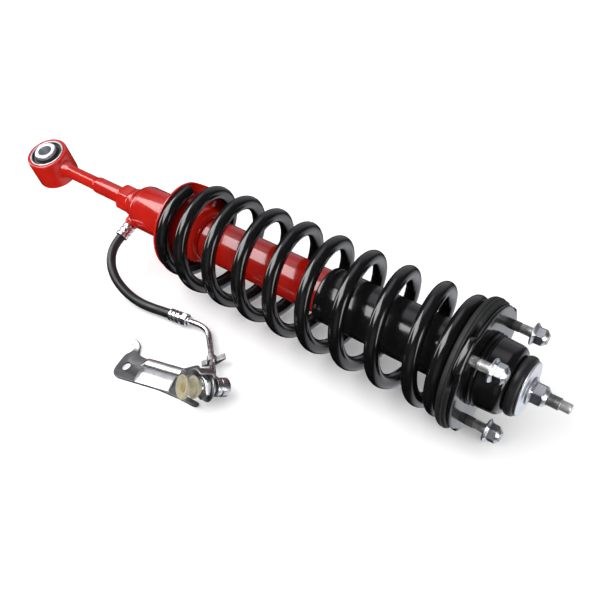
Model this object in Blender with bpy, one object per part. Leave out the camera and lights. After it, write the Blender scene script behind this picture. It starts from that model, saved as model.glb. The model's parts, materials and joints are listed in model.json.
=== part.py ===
"""Coil-over suspension strut with a hydraulic cross-link hose, lying on its side.

Frame: +X runs along the damper from the lower eye to the threaded rod end, +Z is up and the
surface that the strut lies on is z = 0. Stations along the strut are measured from the eye's
centre. Directions round the strut are azimuths, from +Y towards +Z.
"""

import math

import bmesh
import bpy
from mathutils import Matrix, Vector

MM = 0.001
GAP = 0.3 * MM

# Driving dimensions, in metres.
EYE_RADIUS = 26.0 * MM
EYE_UPPER = 17.5 * MM
EYE_LOWER = 21.0 * MM
EYE_BORE = 21.3 * MM
BUSH_BORE = 8.2 * MM
BUSH_UPPER = 22.5 * MM
BUSH_LOWER = 26.0 * MM
THIN_SHANK_RADIUS = 8.25 * MM
SHANK_RADIUS = 10.0 * MM
COLLAR_FLATS = 30.0 * MM
LOWER_BODY_RADIUS = 26.5 * MM
TUBE_RADIUS = 24.0 * MM
TUBE_BORE = 21.8 * MM
CYLINDER_BORE = 15.3 * MM
ROD_RADIUS = 10.0 * MM
ROD_THREAD_RADIUS = 6.0 * MM
ROD_TIP_RADIUS = 4.75 * MM
COVER_RADIUS = 29.8 * MM
WIRE_RADIUS = 7.5 * MM
COIL_RADIUS = 53.5 * MM
LOW_END_COIL_RADIUS = 46.5 * MM
COIL_PITCH = 40.4 * MM
SEAT_RADIUS = 51.5 * MM
INSULATOR_RADIUS = 65.6 * MM
PLATE_RADIUS = 62.5 * MM
PLATE_LOBE = 5.2 * MM
STUD_CIRCLE = 58.0 * MM
STUD_RADIUS = 5.0 * MM
NUT_FLANGE_RADIUS = 11.2 * MM
CUP_RADIUS = 35.6 * MM
WASHER_RADIUS = 26.8 * MM
HOSE_RADIUS = 5.25 * MM
PIPE_RADIUS = 3.0 * MM

# Stations along the strut, from the eye's centre.
STEP_X = 84.0 * MM
COLLAR_X = 131.0 * MM
CAP_X = 149.0 * MM
LOWER_BODY_X = 172.0 * MM
TUBE_X = 186.3 * MM
SEAT_X = 231.0 * MM
TUBE_END_X = 470.0 * MM
COVER_X = 431.0 * MM
INSULATOR_X = 602.0 * MM
PLATE_X = 602.3 * MM
PLATE_TOP_X = 606.3 * MM
CUP_SEAT_X = 605.95 * MM
CUP_END_X = 637.5 * MM
NUT_X = 652.1 * MM
THREAD_END_X = 680.0 * MM
TIP_X = 690.0 * MM

# Directions, as azimuths in degrees.
EYE_AZIMUTH = 108.0
STUD_AZIMUTHS = (13.3, 133.3, 253.3)
PORT_AZIMUTH = 205.0
COIL_ZERO = 43.3

# The spring: turns are counted from COIL_ZERO, and turn 0 is where the full pitch starts.
FIRST_TURN = -1.889
LAST_TURN = 7.7
TURN_ZERO_X = 300.7 * MM
LOW_END_PITCH = 20.0 * MM
LOW_BLEND_TURNS = 1.3
HIGH_END_PITCH = 2.0 * MM
HIGH_BLEND_START = 6.2

ROUND = 28
INNER_ROUND = 24
SMALL_ROUND = 16
LOBED_ROUND = 48
HEX_SIDES = 6

# The strut rests on the mount plate's lowest lobe, and its box is centred on X and Y.
EYE_X = -(TIP_X - EYE_RADIUS) / 2
AXIS_HEIGHT = (PLATE_RADIUS + PLATE_LOBE) * math.cos(2 * math.pi / LOBED_ROUND)
AXIS_Y = -(PLATE_RADIUS + PLATE_LOBE - INSULATOR_RADIUS) / 2


# Helpers


def clear_scene():
    for old in list(bpy.data.objects):
        bpy.data.objects.remove(old, do_unlink=True)


def material(name, colour, metallic, roughness):
    made = bpy.data.materials.new(name)
    made.use_nodes = True
    shader = made.node_tree.nodes["Principled BSDF"]
    shader.inputs["Base Color"].default_value = (*colour, 1.0)
    shader.inputs["Metallic"].default_value = metallic
    shader.inputs["Roughness"].default_value = roughness
    made.diffuse_color = (*colour, 1.0)
    return made


def mm(points):
    """Outline points written in millimetres, in metres."""
    return [(x * MM, r * MM) for x, r in points]


def smooth_step(value):
    t = min(max(value, 0.0), 1.0)
    return t * t * (3 - 2 * t)


def direction(azimuth):
    angle = math.radians(azimuth)
    return Vector((0.0, math.cos(angle), math.sin(angle)))


def finished(name, bm, finish, parent, sharp=35.0):
    """Turns a bmesh into a smooth-shaded object whose faces point out."""
    bmesh.ops.recalc_face_normals(bm, faces=bm.faces)
    mesh = bpy.data.meshes.new(name)
    bm.to_mesh(mesh)
    bm.free()
    mesh.shade_smooth()
    mesh.set_sharp_from_angle(angle=math.radians(sharp))
    mesh.materials.append(finish)
    obj = bpy.data.objects.new(name, mesh)
    bpy.context.collection.objects.link(obj)
    obj.parent = parent
    return obj


def swept(name, section_at, segments, finish, parent):
    """A body round the local X axis.

    section_at(azimuth in degrees) gives its outline as (x, radius) points: a closed loop, or an
    open line that starts and ends on the axis.
    """
    bm = bmesh.new()
    on_axis = section_at(0.0)[0][1] == 0.0
    rings = []
    for step in range(segments):
        azimuth = 360.0 * step / segments
        side = direction(azimuth)
        section = section_at(azimuth)
        if on_axis:
            section = section[1:-1]
        rings.append([bm.verts.new(Vector((x, 0, 0)) + side * r) for x, r in section])
    count = len(rings[0])
    for here, there in zip(rings, rings[1:] + rings[:1]):
        for i in range(count - 1 if on_axis else count):
            j = (i + 1) % count
            bm.faces.new((here[i], here[j], there[j], there[i]))
    if on_axis:
        for index in (0, -1):
            pole = bm.verts.new((section_at(0.0)[index][0], 0, 0))
            for here, there in zip(rings, rings[1:] + rings[:1]):
                bm.faces.new((pole, here[index], there[index]))
    return finished(name, bm, finish, parent)


def turned(name, section, finish, parent, segments=ROUND):
    return swept(name, lambda azimuth: section, segments, finish, parent)


def tube(name, x0, x1, inner, outer, finish, parent, segments=ROUND):
    section = [(x0, inner), (x0, outer), (x1, outer), (x1, inner)]
    return turned(name, section, finish, parent, segments)


def hex_radius(azimuth, flats, turn=0.0):
    """Distance from the axis to the side of a hexagon, in that direction."""
    side = 360.0 / HEX_SIDES
    return flats / 2 / math.cos(math.radians((azimuth - turn) % side - side / 2))


def extruded(name, outline, z0, z1, finish, parent):
    """A plate from a flat outline of (x, y) points, from z0 to z1."""
    bm = bmesh.new()
    face = bm.faces.new([bm.verts.new((x, y, z0)) for x, y in outline])
    grown = bmesh.ops.extrude_face_region(bm, geom=[face])
    raised = [item for item in grown["geom"] if isinstance(item, bmesh.types.BMVert)]
    bmesh.ops.translate(bm, vec=(0, 0, z1 - z0), verts=raised)
    return finished(name, bm, finish, parent)


def rounded(outline, radius, steps=4):
    """The outline with each corner replaced by an arc-like curve of that reach."""
    smooth = []
    for i, corner in enumerate(outline):
        here = Vector(corner)
        before = Vector(outline[i - 1])
        after = Vector(outline[(i + 1) % len(outline)])
        reach_in = min(radius, (before - here).length / 2.2)
        reach_out = min(radius, (after - here).length / 2.2)
        start = here + (before - here).normalized() * reach_in
        end = here + (after - here).normalized() * reach_out
        for step in range(steps + 1):
            t = step / steps
            smooth.append((1 - t) ** 2 * start + 2 * t * (1 - t) * here + t * t * end)
    return [(p.x, p.y) for p in smooth]


def aim(obj, start, along):
    """Puts the object's local X axis on a line from start."""
    obj.rotation_euler = Vector(along).to_track_quat("X", "Z").to_euler()
    obj.location = start


def cut(obj, cutter):
    """Takes the cutter's shape out of the object, and hides the cutter."""
    modifier = obj.modifiers.new("cut_" + cutter.name, "BOOLEAN")
    modifier.operation = "DIFFERENCE"
    modifier.object = cutter
    cutter.hide_render = True
    cutter.display_type = "WIRE"


def drill(obj, parent, x0, x1, radius, azimuth, distance):
    """Cuts a round hole parallel to the strut's axis."""
    section = [(x0, 0.0), (x0, radius), (x1, radius), (x1, 0.0)]
    cutter = turned("drill_" + obj.name, section, obj.data.materials[0], parent, SMALL_ROUND)
    cutter.location = direction(azimuth) * distance
    cut(obj, cutter)


# Lower eye and its rubber bush


def add_eye(strut, paint, zinc, rubber):
    turn = Matrix.Rotation(math.radians(EYE_AZIMUTH), 3, "X")
    across = (turn @ Matrix.Rotation(math.radians(90), 3, "Z")).to_euler()
    edge = 1.5 * MM
    barrel_section = [
        (-EYE_LOWER, EYE_BORE),
        (-EYE_LOWER, EYE_RADIUS - edge),
        (-EYE_LOWER + edge, EYE_RADIUS),
        (EYE_UPPER - edge, EYE_RADIUS),
        (EYE_UPPER, EYE_RADIUS - edge),
        (EYE_UPPER, EYE_BORE),
    ]
    barrel = turned("eye_barrel", barrel_section, paint, strut)
    outer = EYE_BORE - GAP
    outer_wall = 1.8 * MM
    inner = outer - outer_wall
    sleeve = tube("bush_outer_sleeve", -EYE_LOWER, EYE_UPPER, inner, outer, zinc, strut)
    core = 13.5 * MM
    dish = 3.0 * MM
    low = core + GAP
    high = outer - outer_wall - GAP
    middle = (low + high) / 2
    rubber_start = 0.5 * MM - EYE_LOWER
    rubber_end = EYE_UPPER - 0.5 * MM
    rubber_section = [
        (rubber_start, low),
        (rubber_start + dish, middle),
        (rubber_start, high),
        (rubber_end, high),
        (rubber_end - dish, middle),
        (rubber_end, low),
    ]
    ring = turned("bush_rubber", rubber_section, rubber, strut)
    core_section = [
        (-BUSH_LOWER, BUSH_BORE),
        (-BUSH_LOWER, core - MM),
        (-BUSH_LOWER + MM, core),
        (BUSH_UPPER - MM, core),
        (BUSH_UPPER, core - MM),
        (BUSH_UPPER, BUSH_BORE),
    ]
    core_sleeve = turned("bush_inner_sleeve", core_section, zinc, strut, SMALL_ROUND)
    for piece in (barrel, sleeve, ring, core_sleeve):
        piece.rotation_euler = across
    return across


# Shank, collar and damper body


def add_shank(strut, paint, across):
    section = mm([(20, 0), (20, 11), (26.5, 10.6), (31, 8.7)])
    section += [(36 * MM, THIN_SHANK_RADIUS), (STEP_X, THIN_SHANK_RADIUS)]
    section += [(STEP_X + 3.5 * MM, SHANK_RADIUS), (COLLAR_X - GAP, SHANK_RADIUS)]
    section += [(COLLAR_X - GAP, 0.0)]
    shank = turned("lower_shank", section, paint, strut, SMALL_ROUND)
    reach = 2 * EYE_LOWER
    keep_out = EYE_RADIUS + GAP
    cutter_section = [(-reach, 0.0), (-reach, keep_out), (reach, keep_out), (reach, 0.0)]
    cutter = turned("eye_cutter", cutter_section, paint, strut, ROUND * 2)
    cutter.rotation_euler = across
    cut(shank, cutter)


def add_collar(strut, paint):
    start = 13.8 * MM

    def section(azimuth):
        side = hex_radius(azimuth, COLLAR_FLATS, 12.0)
        return [
            (COLLAR_X, 0.0),
            (COLLAR_X, start),
            (COLLAR_X + (side - start) * 1.1, side),
            (CAP_X - GAP, side),
            (CAP_X - GAP, 0.0),
        ]

    swept("hex_collar", section, HEX_SIDES * 4, paint, strut)


def add_lower_body(strut, paint):
    spigot = 24.1 * MM
    cap_section = [(CAP_X, 0.0)]
    cap_section += mm([(149, 16.2), (156, 16.8), (157.2, 15.9), (158.8, 16.2), (160, 18.6)])
    cap_section += mm([(162, 21.6), (165, 24.3), (168, 25.9)])
    cap_section += [(LOWER_BODY_X - GAP, LOWER_BODY_RADIUS), (LOWER_BODY_X - GAP, spigot)]
    cap_section += [(TUBE_X - GAP, spigot), (TUBE_X - GAP, 0.0)]
    turned("lower_end_cap", cap_section, paint, strut)
    tube(
        "lower_body_tube", LOWER_BODY_X, 240 * MM, spigot + GAP, LOWER_BODY_RADIUS, paint, strut
    )
    lip = 13.0 * MM
    end = TUBE_END_X
    main_section = [
        (TUBE_X, TUBE_BORE),
        (TUBE_X, TUBE_RADIUS),
        (end - 3 * MM, TUBE_RADIUS),
        (end, TUBE_RADIUS - 3 * MM),
        (end, lip),
        (end - 2 * MM, lip),
        (end - 2 * MM, TUBE_BORE),
    ]
    turned("main_tube", main_section, paint, strut)


# Hydraulic parts inside the damper


def add_damper_inside(strut, rod_carrier, steel, bronze, rubber):
    cylinder_radius = CYLINDER_BORE + 1.7 * MM
    tube(
        "inner_cylinder", 205 * MM, 444 * MM, CYLINDER_BORE, cylinder_radius, steel, strut, INNER_ROUND
    )
    base_section = mm([(186.4, 0), (186.4, 17), (204.7, 17), (204.7, 14), (199, 12), (199, 0)])
    turned("base_valve", base_section, bronze, strut, SMALL_ROUND)
    bearing = ROD_RADIUS + 0.3 * MM
    fit = TUBE_BORE - GAP
    guide_section = [
        (444.3 * MM, bearing),
        (444.3 * MM, fit),
        (461 * MM, fit),
        (461 * MM, bearing),
    ]
    turned("rod_guide", guide_section, bronze, strut, INNER_ROUND)
    tube("oil_seal", 461.3 * MM, 467.5 * MM, bearing, fit, rubber, strut, INNER_ROUND)

    add_rod(rod_carrier, steel)
    tail = 5.3 * MM
    land = 14.6 * MM
    groove = 13.4 * MM
    piston_section = [
        (400.3 * MM, tail),
        (400.3 * MM, land),
        (404 * MM, land),
        (404 * MM, groove),
        (414 * MM, groove),
        (414 * MM, land),
        (418 * MM, land),
        (418 * MM, tail),
    ]
    turned("piston", piston_section, steel, rod_carrier, INNER_ROUND)
    tube("piston_band", 404.3 * MM, 413.7 * MM, 13.7 * MM, 15.0 * MM, bronze, rod_carrier, INNER_ROUND)

    def nut(azimuth):
        side = hex_radius(azimuth, 14 * MM)
        return [(393 * MM, tail), (393 * MM, side), (400 * MM, side), (400 * MM, tail)]

    swept("piston_nut", nut, HEX_SIDES * 2, steel, rod_carrier)


def add_rod(rod_carrier, steel):
    shoulder = 603.7 * MM
    tail_radius = 5.0 * MM
    section = [
        (391.5 * MM, 0.0),
        (391.5 * MM, tail_radius),
        (418.3 * MM, tail_radius),
        (418.3 * MM, ROD_RADIUS),
        (shoulder, ROD_RADIUS),
        (shoulder, ROD_THREAD_RADIUS),
        (THREAD_END_X, ROD_THREAD_RADIUS),
        (THREAD_END_X + 0.6 * MM, ROD_TIP_RADIUS),
        (TIP_X - 0.6 * MM, ROD_TIP_RADIUS),
        (TIP_X, ROD_TIP_RADIUS - 0.6 * MM),
        (TIP_X, 0.0),
    ]
    turned("piston_rod", section, steel, rod_carrier, SMALL_ROUND)


def add_cover_and_bump_stop(rod_carrier, gloss, foam):
    wall = 1.6 * MM
    inside = COVER_RADIUS - wall
    flange = 22.5 * MM
    cover_section = [
        (COVER_X, inside),
        (COVER_X, COVER_RADIUS - 1.2 * MM),
        (COVER_X + 2 * MM, COVER_RADIUS),
        (600 * MM, COVER_RADIUS),
        (600 * MM, flange),
        (597.5 * MM, flange),
        (597.5 * MM, inside),
    ]
    turned("dust_cover", cover_section, gloss, rod_carrier)
    bore = ROD_RADIUS + 0.4 * MM
    outline = mm([(558, 15), (562, 18), (567, 20.5), (571, 16.5), (575, 21.5), (583, 21.5)])
    outline += mm([(587, 17), (591, 21.5), (603.3, 21.5)])
    turned("bump_stop", [(558 * MM, bore)] + outline + [(603.3 * MM, bore)], foam, rod_carrier, INNER_ROUND)


# Spring and its seats


def coil_x(turns):
    """Station of the wire's centre: the full pitch, blended down at both end coils."""
    x = TURN_ZERO_X + COIL_PITCH * turns
    low_ends = FIRST_TURN + LOW_BLEND_TURNS
    missing = COIL_PITCH - LOW_END_PITCH
    if turns < low_ends:
        u = (low_ends - turns) / LOW_BLEND_TURNS
        x += missing * LOW_BLEND_TURNS * (u**3 - u**4 / 2)
    if turns > HIGH_BLEND_START:
        span = LAST_TURN - HIGH_BLEND_START
        u = (turns - HIGH_BLEND_START) / span
        x -= (COIL_PITCH - HIGH_END_PITCH) * span * (u**3 - u**4 / 2)
    return x


def coil_radius(turns):
    grown = smooth_step((turns - FIRST_TURN - 0.3) / 1.1)
    return LOW_END_COIL_RADIUS + (COIL_RADIUS - LOW_END_COIL_RADIUS) * grown


def coil_point(turns):
    side = direction(COIL_ZERO + 360.0 * turns)
    return Vector((coil_x(turns), 0, 0)) + side * coil_radius(turns)


def add_spring(strut, gloss):
    per_turn = 18
    sides = 6
    steps = round((LAST_TURN - FIRST_TURN) * per_turn)
    bm = bmesh.new()
    rings = []
    for step in range(steps + 1):
        turns = FIRST_TURN + (LAST_TURN - FIRST_TURN) * step / steps
        here = coil_point(turns)
        along = (coil_point(turns + 0.005) - coil_point(turns - 0.005)).normalized()
        out = direction(COIL_ZERO + 360.0 * turns)
        up = along.cross(out).normalized()
        ring = []
        for side in range(sides):
            angle = 2 * math.pi * side / sides
            offset = out * math.cos(angle) + up * math.sin(angle)
            ring.append(bm.verts.new(here + offset * WIRE_RADIUS))
        rings.append(ring)
    for here, there in zip(rings, rings[1:]):
        for i in range(sides):
            j = (i + 1) % sides
            bm.faces.new((here[i], here[j], there[j], there[i]))
    bm.faces.new(rings[0])
    bm.faces.new(rings[-1])
    finished("coil_spring", bm, gloss, strut, sharp=60.0)


def turns_at(azimuth, first):
    """The turn count at that azimuth, counted up from the turn given."""
    base = (azimuth - COIL_ZERO) / 360.0
    return base + math.ceil(first - base)


def seat_floor(azimuth):
    """Station of the lower seat's floor, a ramp under the end coil that drops back at its tip."""
    drop = 0.12
    turns = turns_at(azimuth, FIRST_TURN)
    into = turns - FIRST_TURN
    low = coil_x(FIRST_TURN)
    high = coil_x(FIRST_TURN + 1 - drop)
    if into > 1 - drop:
        x = high + (low - high) * smooth_step((into - 1 + drop) / drop * 1.5)
    else:
        x = coil_x(turns)
    return x - WIRE_RADIUS - GAP


def add_lower_seat(strut, paint):
    hole = TUBE_RADIUS + GAP
    body_hole = LOWER_BODY_RADIUS + GAP

    def section(azimuth):
        floor = seat_floor(azimuth)
        root = floor - 9 * MM
        return [
            (223 * MM, body_hole),
            (root, 33 * MM),
            (floor - 4 * MM, 40 * MM),
            (floor - 3 * MM, SEAT_RADIUS - 1 * MM),
            (floor - 2 * MM, SEAT_RADIUS),
            (floor - 0.8 * MM, SEAT_RADIUS),
            (floor - 0.3 * MM, SEAT_RADIUS - 1 * MM),
            (floor - 0.6 * MM, 41 * MM),
            (floor - 1.5 * MM, 37.5 * MM),
            (250 * MM, 33.5 * MM),
            (262 * MM, 32 * MM),
            (269 * MM, 29.5 * MM),
            (272 * MM, 26 * MM),
            (272 * MM, hole),
            (240.5 * MM, hole),
            (240.5 * MM, body_hole),
        ]

    swept("lower_spring_seat", section, LOBED_ROUND, paint, strut)


def near_stud(azimuth, spread):
    """1 at a stud's azimuth, falling to 0 at that spread in degrees."""
    closest = min(abs((azimuth - stud + 180) % 360 - 180) for stud in STUD_AZIMUTHS)
    return 1 - smooth_step((closest - spread * 0.7) / (spread * 0.3))


def insulator_face(azimuth):
    """Station of the insulator's face, a ramp that follows the top coil to its tip."""
    turns = turns_at(azimuth, LAST_TURN - 1.0)
    clear = WIRE_RADIUS + GAP
    last = coil_x(LAST_TURN) + clear
    start = LAST_TURN - 0.75
    if turns < start:
        back = smooth_step((turns - LAST_TURN + 1.0) / 0.25)
        return last + (coil_x(start) + clear - last) * back
    return coil_x(turns) + clear


def add_insulator(rod_carrier, rubber):
    bore = 38.0 * MM

    def section(azimuth):
        face = insulator_face(azimuth)
        notch = 9.0 * MM * near_stud(azimuth, 31.0)
        skirt = INSULATOR_RADIUS - 1.1 * MM - notch
        return [
            (face, bore),
            (face, INSULATOR_RADIUS - 5 * MM),
            (face + 1.5 * MM, INSULATOR_RADIUS - 1.5 * MM),
            (face + 4 * MM, INSULATOR_RADIUS),
            (596.4 * MM, INSULATOR_RADIUS),
            (597 * MM, skirt),
            (INSULATOR_X - 1 * MM, skirt),
            (INSULATOR_X, skirt - 1 * MM),
            (INSULATOR_X, bore),
        ]

    swept("upper_spring_insulator", section, LOBED_ROUND, rubber, rod_carrier)


# Upper mount


def add_mount_plate(rod_carrier, gloss):
    hole = 31.0 * MM
    cup_seat = CUP_RADIUS + 1.6 * MM

    def section(azimuth):
        lobe = near_stud(azimuth, 20.0)
        edge = PLATE_RADIUS + PLATE_LOBE * lobe
        lip = 4.5 * MM * lobe
        inner_edge = edge - 2.4 * MM
        return [
            (PLATE_X, hole),
            (PLATE_X, inner_edge - 0.4 * MM),
            (PLATE_X - lip, inner_edge),
            (PLATE_X - lip, edge - 0.6 * MM),
            (PLATE_X + 1.2 * MM, edge),
            (PLATE_TOP_X - 1 * MM, edge),
            (PLATE_TOP_X, edge - 1 * MM),
            (PLATE_TOP_X, cup_seat),
            (CUP_SEAT_X, cup_seat),
            (CUP_SEAT_X, hole),
        ]

    plate = swept("mount_plate", section, LOBED_ROUND, gloss, rod_carrier)
    for azimuth in STUD_AZIMUTHS:
        reach = PLATE_X - 10 * MM
        drill(plate, rod_carrier, reach, 620 * MM, STUD_RADIUS + GAP, azimuth, STUD_CIRCLE)


def add_cup(rod_carrier, gloss):
    start = CUP_SEAT_X + GAP
    mouth = 17.0 * MM
    section = [(start, 33 * MM), (start, CUP_RADIUS + 1 * MM)]
    section += [(start + 3 * MM, CUP_RADIUS + 1 * MM), (start + 3.6 * MM, CUP_RADIUS)]
    section += [(start + 5.4 * MM, CUP_RADIUS + 0.5 * MM), (start + 7 * MM, CUP_RADIUS - 0.5 * MM)]
    bend = 8.5 * MM
    side = CUP_RADIUS - 1.3 * MM
    for step in range(5):
        angle = math.radians(90 * step / 4)
        x = CUP_END_X - bend + bend * math.sin(angle)
        section.append((x, side - bend + bend * math.cos(angle)))
    wall = 2.5 * MM
    section += [(CUP_END_X, mouth), (CUP_END_X - wall, mouth)]
    section += [(CUP_END_X - wall, side - bend), (CUP_END_X - bend, side - wall)]
    section += [(start + 6 * MM, CUP_RADIUS - wall - 0.6 * MM)]
    turned("cup_housing", section, gloss, rod_carrier)


def add_mount_bush(rod_carrier, rubber, zinc):
    sleeve_bore = ROD_THREAD_RADIUS + GAP
    sleeve_radius = 9.0 * MM
    plate_section = mm([(604, 6.3), (604, 22), (605, 24), (606.3, 24), (606.3, 6.3)])
    turned("lower_mount_washer", plate_section, zinc, rod_carrier, INNER_ROUND)
    end = 648.0 * MM
    tube("spacer_sleeve", 606.6 * MM, end, sleeve_bore, sleeve_radius, zinc, rod_carrier, SMALL_ROUND)
    bore = sleeve_radius + GAP
    inside = [(606.6 * MM, bore), (606.6 * MM, 29 * MM), (612 * MM, 30.8 * MM)]
    inside += [(627 * MM, 30.8 * MM), (634.6 * MM, 25 * MM), (634.6 * MM, 16.7 * MM)]
    inside += [(637.3 * MM, 16.7 * MM), (637.3 * MM, bore)]
    turned("lower_mount_bush", inside, rubber, rod_carrier, INNER_ROUND)
    top = [(637.8 * MM, bore), (637.8 * MM, 26.6 * MM), (640.2 * MM, 28.7 * MM)]
    top += [(645.8 * MM, 28.9 * MM), (648 * MM, 27.2 * MM), (648 * MM, bore)]
    turned("top_mount_cushion", top, rubber, rod_carrier)
    washer = [(648.3 * MM, sleeve_bore), (648.3 * MM, WASHER_RADIUS - 0.8 * MM)]
    washer += [(649.1 * MM, WASHER_RADIUS), (650.3 * MM, WASHER_RADIUS)]
    washer += [(651.8 * MM, WASHER_RADIUS - 4 * MM), (651.8 * MM, sleeve_bore)]
    turned("top_washer", washer, zinc, rod_carrier)


def add_lock_nut(rod_carrier, zinc):
    bore = ROD_THREAD_RADIUS + GAP
    flange = 13.4 * MM

    def section(azimuth):
        side = hex_radius(azimuth, 19 * MM, 20.0)
        round_side = 9.2 * MM
        return [
            (NUT_X, bore),
            (NUT_X, flange),
            (NUT_X + 1.4 * MM, flange),
            (NUT_X + 2.8 * MM, side + 0.5 * MM),
            (NUT_X + 3.2 * MM, side),
            (NUT_X + 12.4 * MM - (side - round_side) * 0.5, side),
            (NUT_X + 12.6 * MM, round_side),
            (NUT_X + 16 * MM, round_side - 0.9 * MM),
            (NUT_X + 16.8 * MM, round_side - 2.1 * MM),
            (NUT_X + 16.8 * MM, bore),
        ]

    swept("rod_lock_nut", section, HEX_SIDES * 4, zinc, rod_carrier)


def add_studs(rod_carrier, zinc):
    tip = 641.0 * MM
    stud_section = [
        (PLATE_X, 0.0),
        (PLATE_X, STUD_RADIUS),
        (tip - 1 * MM, STUD_RADIUS),
        (tip, STUD_RADIUS - 1 * MM),
        (tip, 0.0),
    ]
    nut_x = 626.5 * MM
    bore = STUD_RADIUS + GAP

    def nut_section(azimuth):
        side = hex_radius(azimuth, 16 * MM, 8.0)
        crown = 7.5 * MM
        return [
            (nut_x, bore),
            (nut_x, NUT_FLANGE_RADIUS),
            (nut_x + 1.2 * MM, NUT_FLANGE_RADIUS),
            (nut_x + 2.8 * MM, side + 0.3 * MM),
            (nut_x + 3.2 * MM, side),
            (nut_x + 12.0 * MM - (side - crown) * 0.5, side),
            (nut_x + 12.2 * MM, crown),
            (nut_x + 14.4 * MM, crown - 1.6 * MM),
            (nut_x + 14.4 * MM, bore),
        ]

    for number, azimuth in enumerate(STUD_AZIMUTHS, start=1):
        place = direction(azimuth) * STUD_CIRCLE
        stud = turned(f"mount_stud_{number}", stud_section, zinc, rod_carrier, 12)
        stud.location = place
        nut = swept(f"flange_nut_{number}", nut_section, HEX_SIDES * 4, zinc, rod_carrier)
        nut.location = place


# Hose, pipe and fittings. Places here are (station, distance beside the axis, height).

PORT_X = 166.5 * MM
FERRULE_START = 29.4 * MM
FERRULE_END = 46.0 * MM
LEAD = 3.0 * MM
HOSE_ROUTE = (
    (167.2, -51.6, 43.1),
    (169.9, -59.8, 39.0),
    (175.4, -67.9, 34.4),
    (183.7, -75.0, 29.0),
    (194.4, -80.0, 23.0),
    (206.8, -82.4, 16.9),
    (220.2, -82.7, 11.6),
    (234.0, -81.3, 8.3),
    (247.5, -79.2, 7.5),
    (260.0, -76.8, 7.6),
)
FITTING_START = Vector((272.0, -74.6, 7.7)) * MM
FITTING_ALONG = Vector((0.985, 0.174, 0.0))
FERRULE_LENGTH = 14.0 * MM
COLLAR_LENGTH = 11.4 * MM
PIPE_ROUTE = (
    (303.0, -68.6, 7.3),
    (310.0, -67.4, 6.6),
    (316.5, -67.5, 5.8),
    (322.5, -69.6, 5.2),
    (328.0, -73.6, 5.0),
    (334.0, -79.2, 5.4),
    (341.0, -85.7, 7.2),
    (349.0, -93.3, 8.3),
    (357.0, -101.0, 8.6),
    (365.0, -108.7, 9.2),
    (372.0, -115.6, 11.6),
    (377.5, -120.9, 14.4),
)
END_CENTRE = Vector((391.5, -129.8, 13.8)) * MM
END_ALONG = Vector((-0.405, -0.811, 0.423)).normalized()
END_SIDE = Vector((-0.860, 0.495, 0.127)).normalized()
END_RADIUS = 9.5 * MM
END_HALF = 11.0 * MM
BRACKET_CENTRE = Vector((288.0, -157.0, 0.0)) * MM
BRACKET_TURN = math.atan2(0.277, 0.961)
CLIP_CENTRE = Vector((357.0, -101.0, 8.6)) * MM
CLIP_ALONG = Vector((0.72, -0.694, 0.0)).normalized()


def on_surface(place):
    """World place from (station, distance beside the axis, height)."""
    return Vector((EYE_X + place[0], AXIS_Y + place[1], place[2]))


def route(points):
    return [on_surface([value * MM for value in point]) for point in points]


def smooth_route(points, spacing):
    """Points at even steps along a smooth curve through the given ones."""
    padded = [2 * points[0] - points[1]] + points + [2 * points[-1] - points[-2]]
    fine = []
    for p0, p1, p2, p3 in zip(padded, padded[1:], padded[2:], padded[3:]):
        for step in range(20):
            t = step / 20
            linear = (p2 - p0) * t
            square = (2 * p0 - 5 * p1 + 4 * p2 - p3) * t * t
            cube = (3 * p1 - p0 - 3 * p2 + p3) * t**3
            fine.append((2 * p1 + linear + square + cube) / 2)
    fine.append(points[-1])
    length = sum((b - a).length for a, b in zip(fine, fine[1:]))
    count = max(2, round(length / spacing))
    chosen = [fine[0]]
    travelled = 0.0
    for a, b in zip(fine, fine[1:]):
        travelled += (b - a).length
        if travelled >= length * len(chosen) / count and len(chosen) < count:
            chosen.append(b)
    return chosen + [fine[-1]]


def cord(name, points, radius, spacing, finish, resolution):
    """A tube through the points, straight between the first two and between the last two."""
    curve = bpy.data.curves.new(name, "CURVE")
    curve.dimensions = "3D"
    curve.bevel_depth = radius
    curve.bevel_resolution = resolution
    curve.use_fill_caps = True
    chosen = [points[0]] + smooth_route(points[1:-1], spacing) + [points[-1]]
    line = curve.splines.new("POLY")
    line.points.add(len(chosen) - 1)
    for point, place in zip(line.points, chosen):
        point.co = (*place, 1.0)
    curve.materials.append(finish)
    obj = bpy.data.objects.new(name, curve)
    bpy.context.collection.objects.link(obj)
    return obj


def port_place(distance):
    """A place on the port's line, at that distance from the strut's axis."""
    centre = Vector((EYE_X + PORT_X, AXIS_Y, AXIS_HEIGHT))
    return centre + direction(PORT_AZIMUTH) * distance


def crimped(length, radius, end_radius, bands):
    """Outline of a swaged ferrule: an open line from axis to axis, with crimp grooves."""
    section = [(0.0, 0.0), (0.0, end_radius), (0.6 * MM, radius)]
    groove = 0.8 * MM
    pitch = length / (bands + 1)
    for band in range(1, bands + 1):
        middle = pitch * band
        section.append((middle - 1.3 * MM, radius))
        section.append((middle - 0.5 * MM, radius - groove))
        section.append((middle + 0.5 * MM, radius - groove))
        section.append((middle + 1.3 * MM, radius))
    section += [(length - 0.6 * MM, radius), (length, end_radius), (length, 0.0)]
    return section


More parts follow.
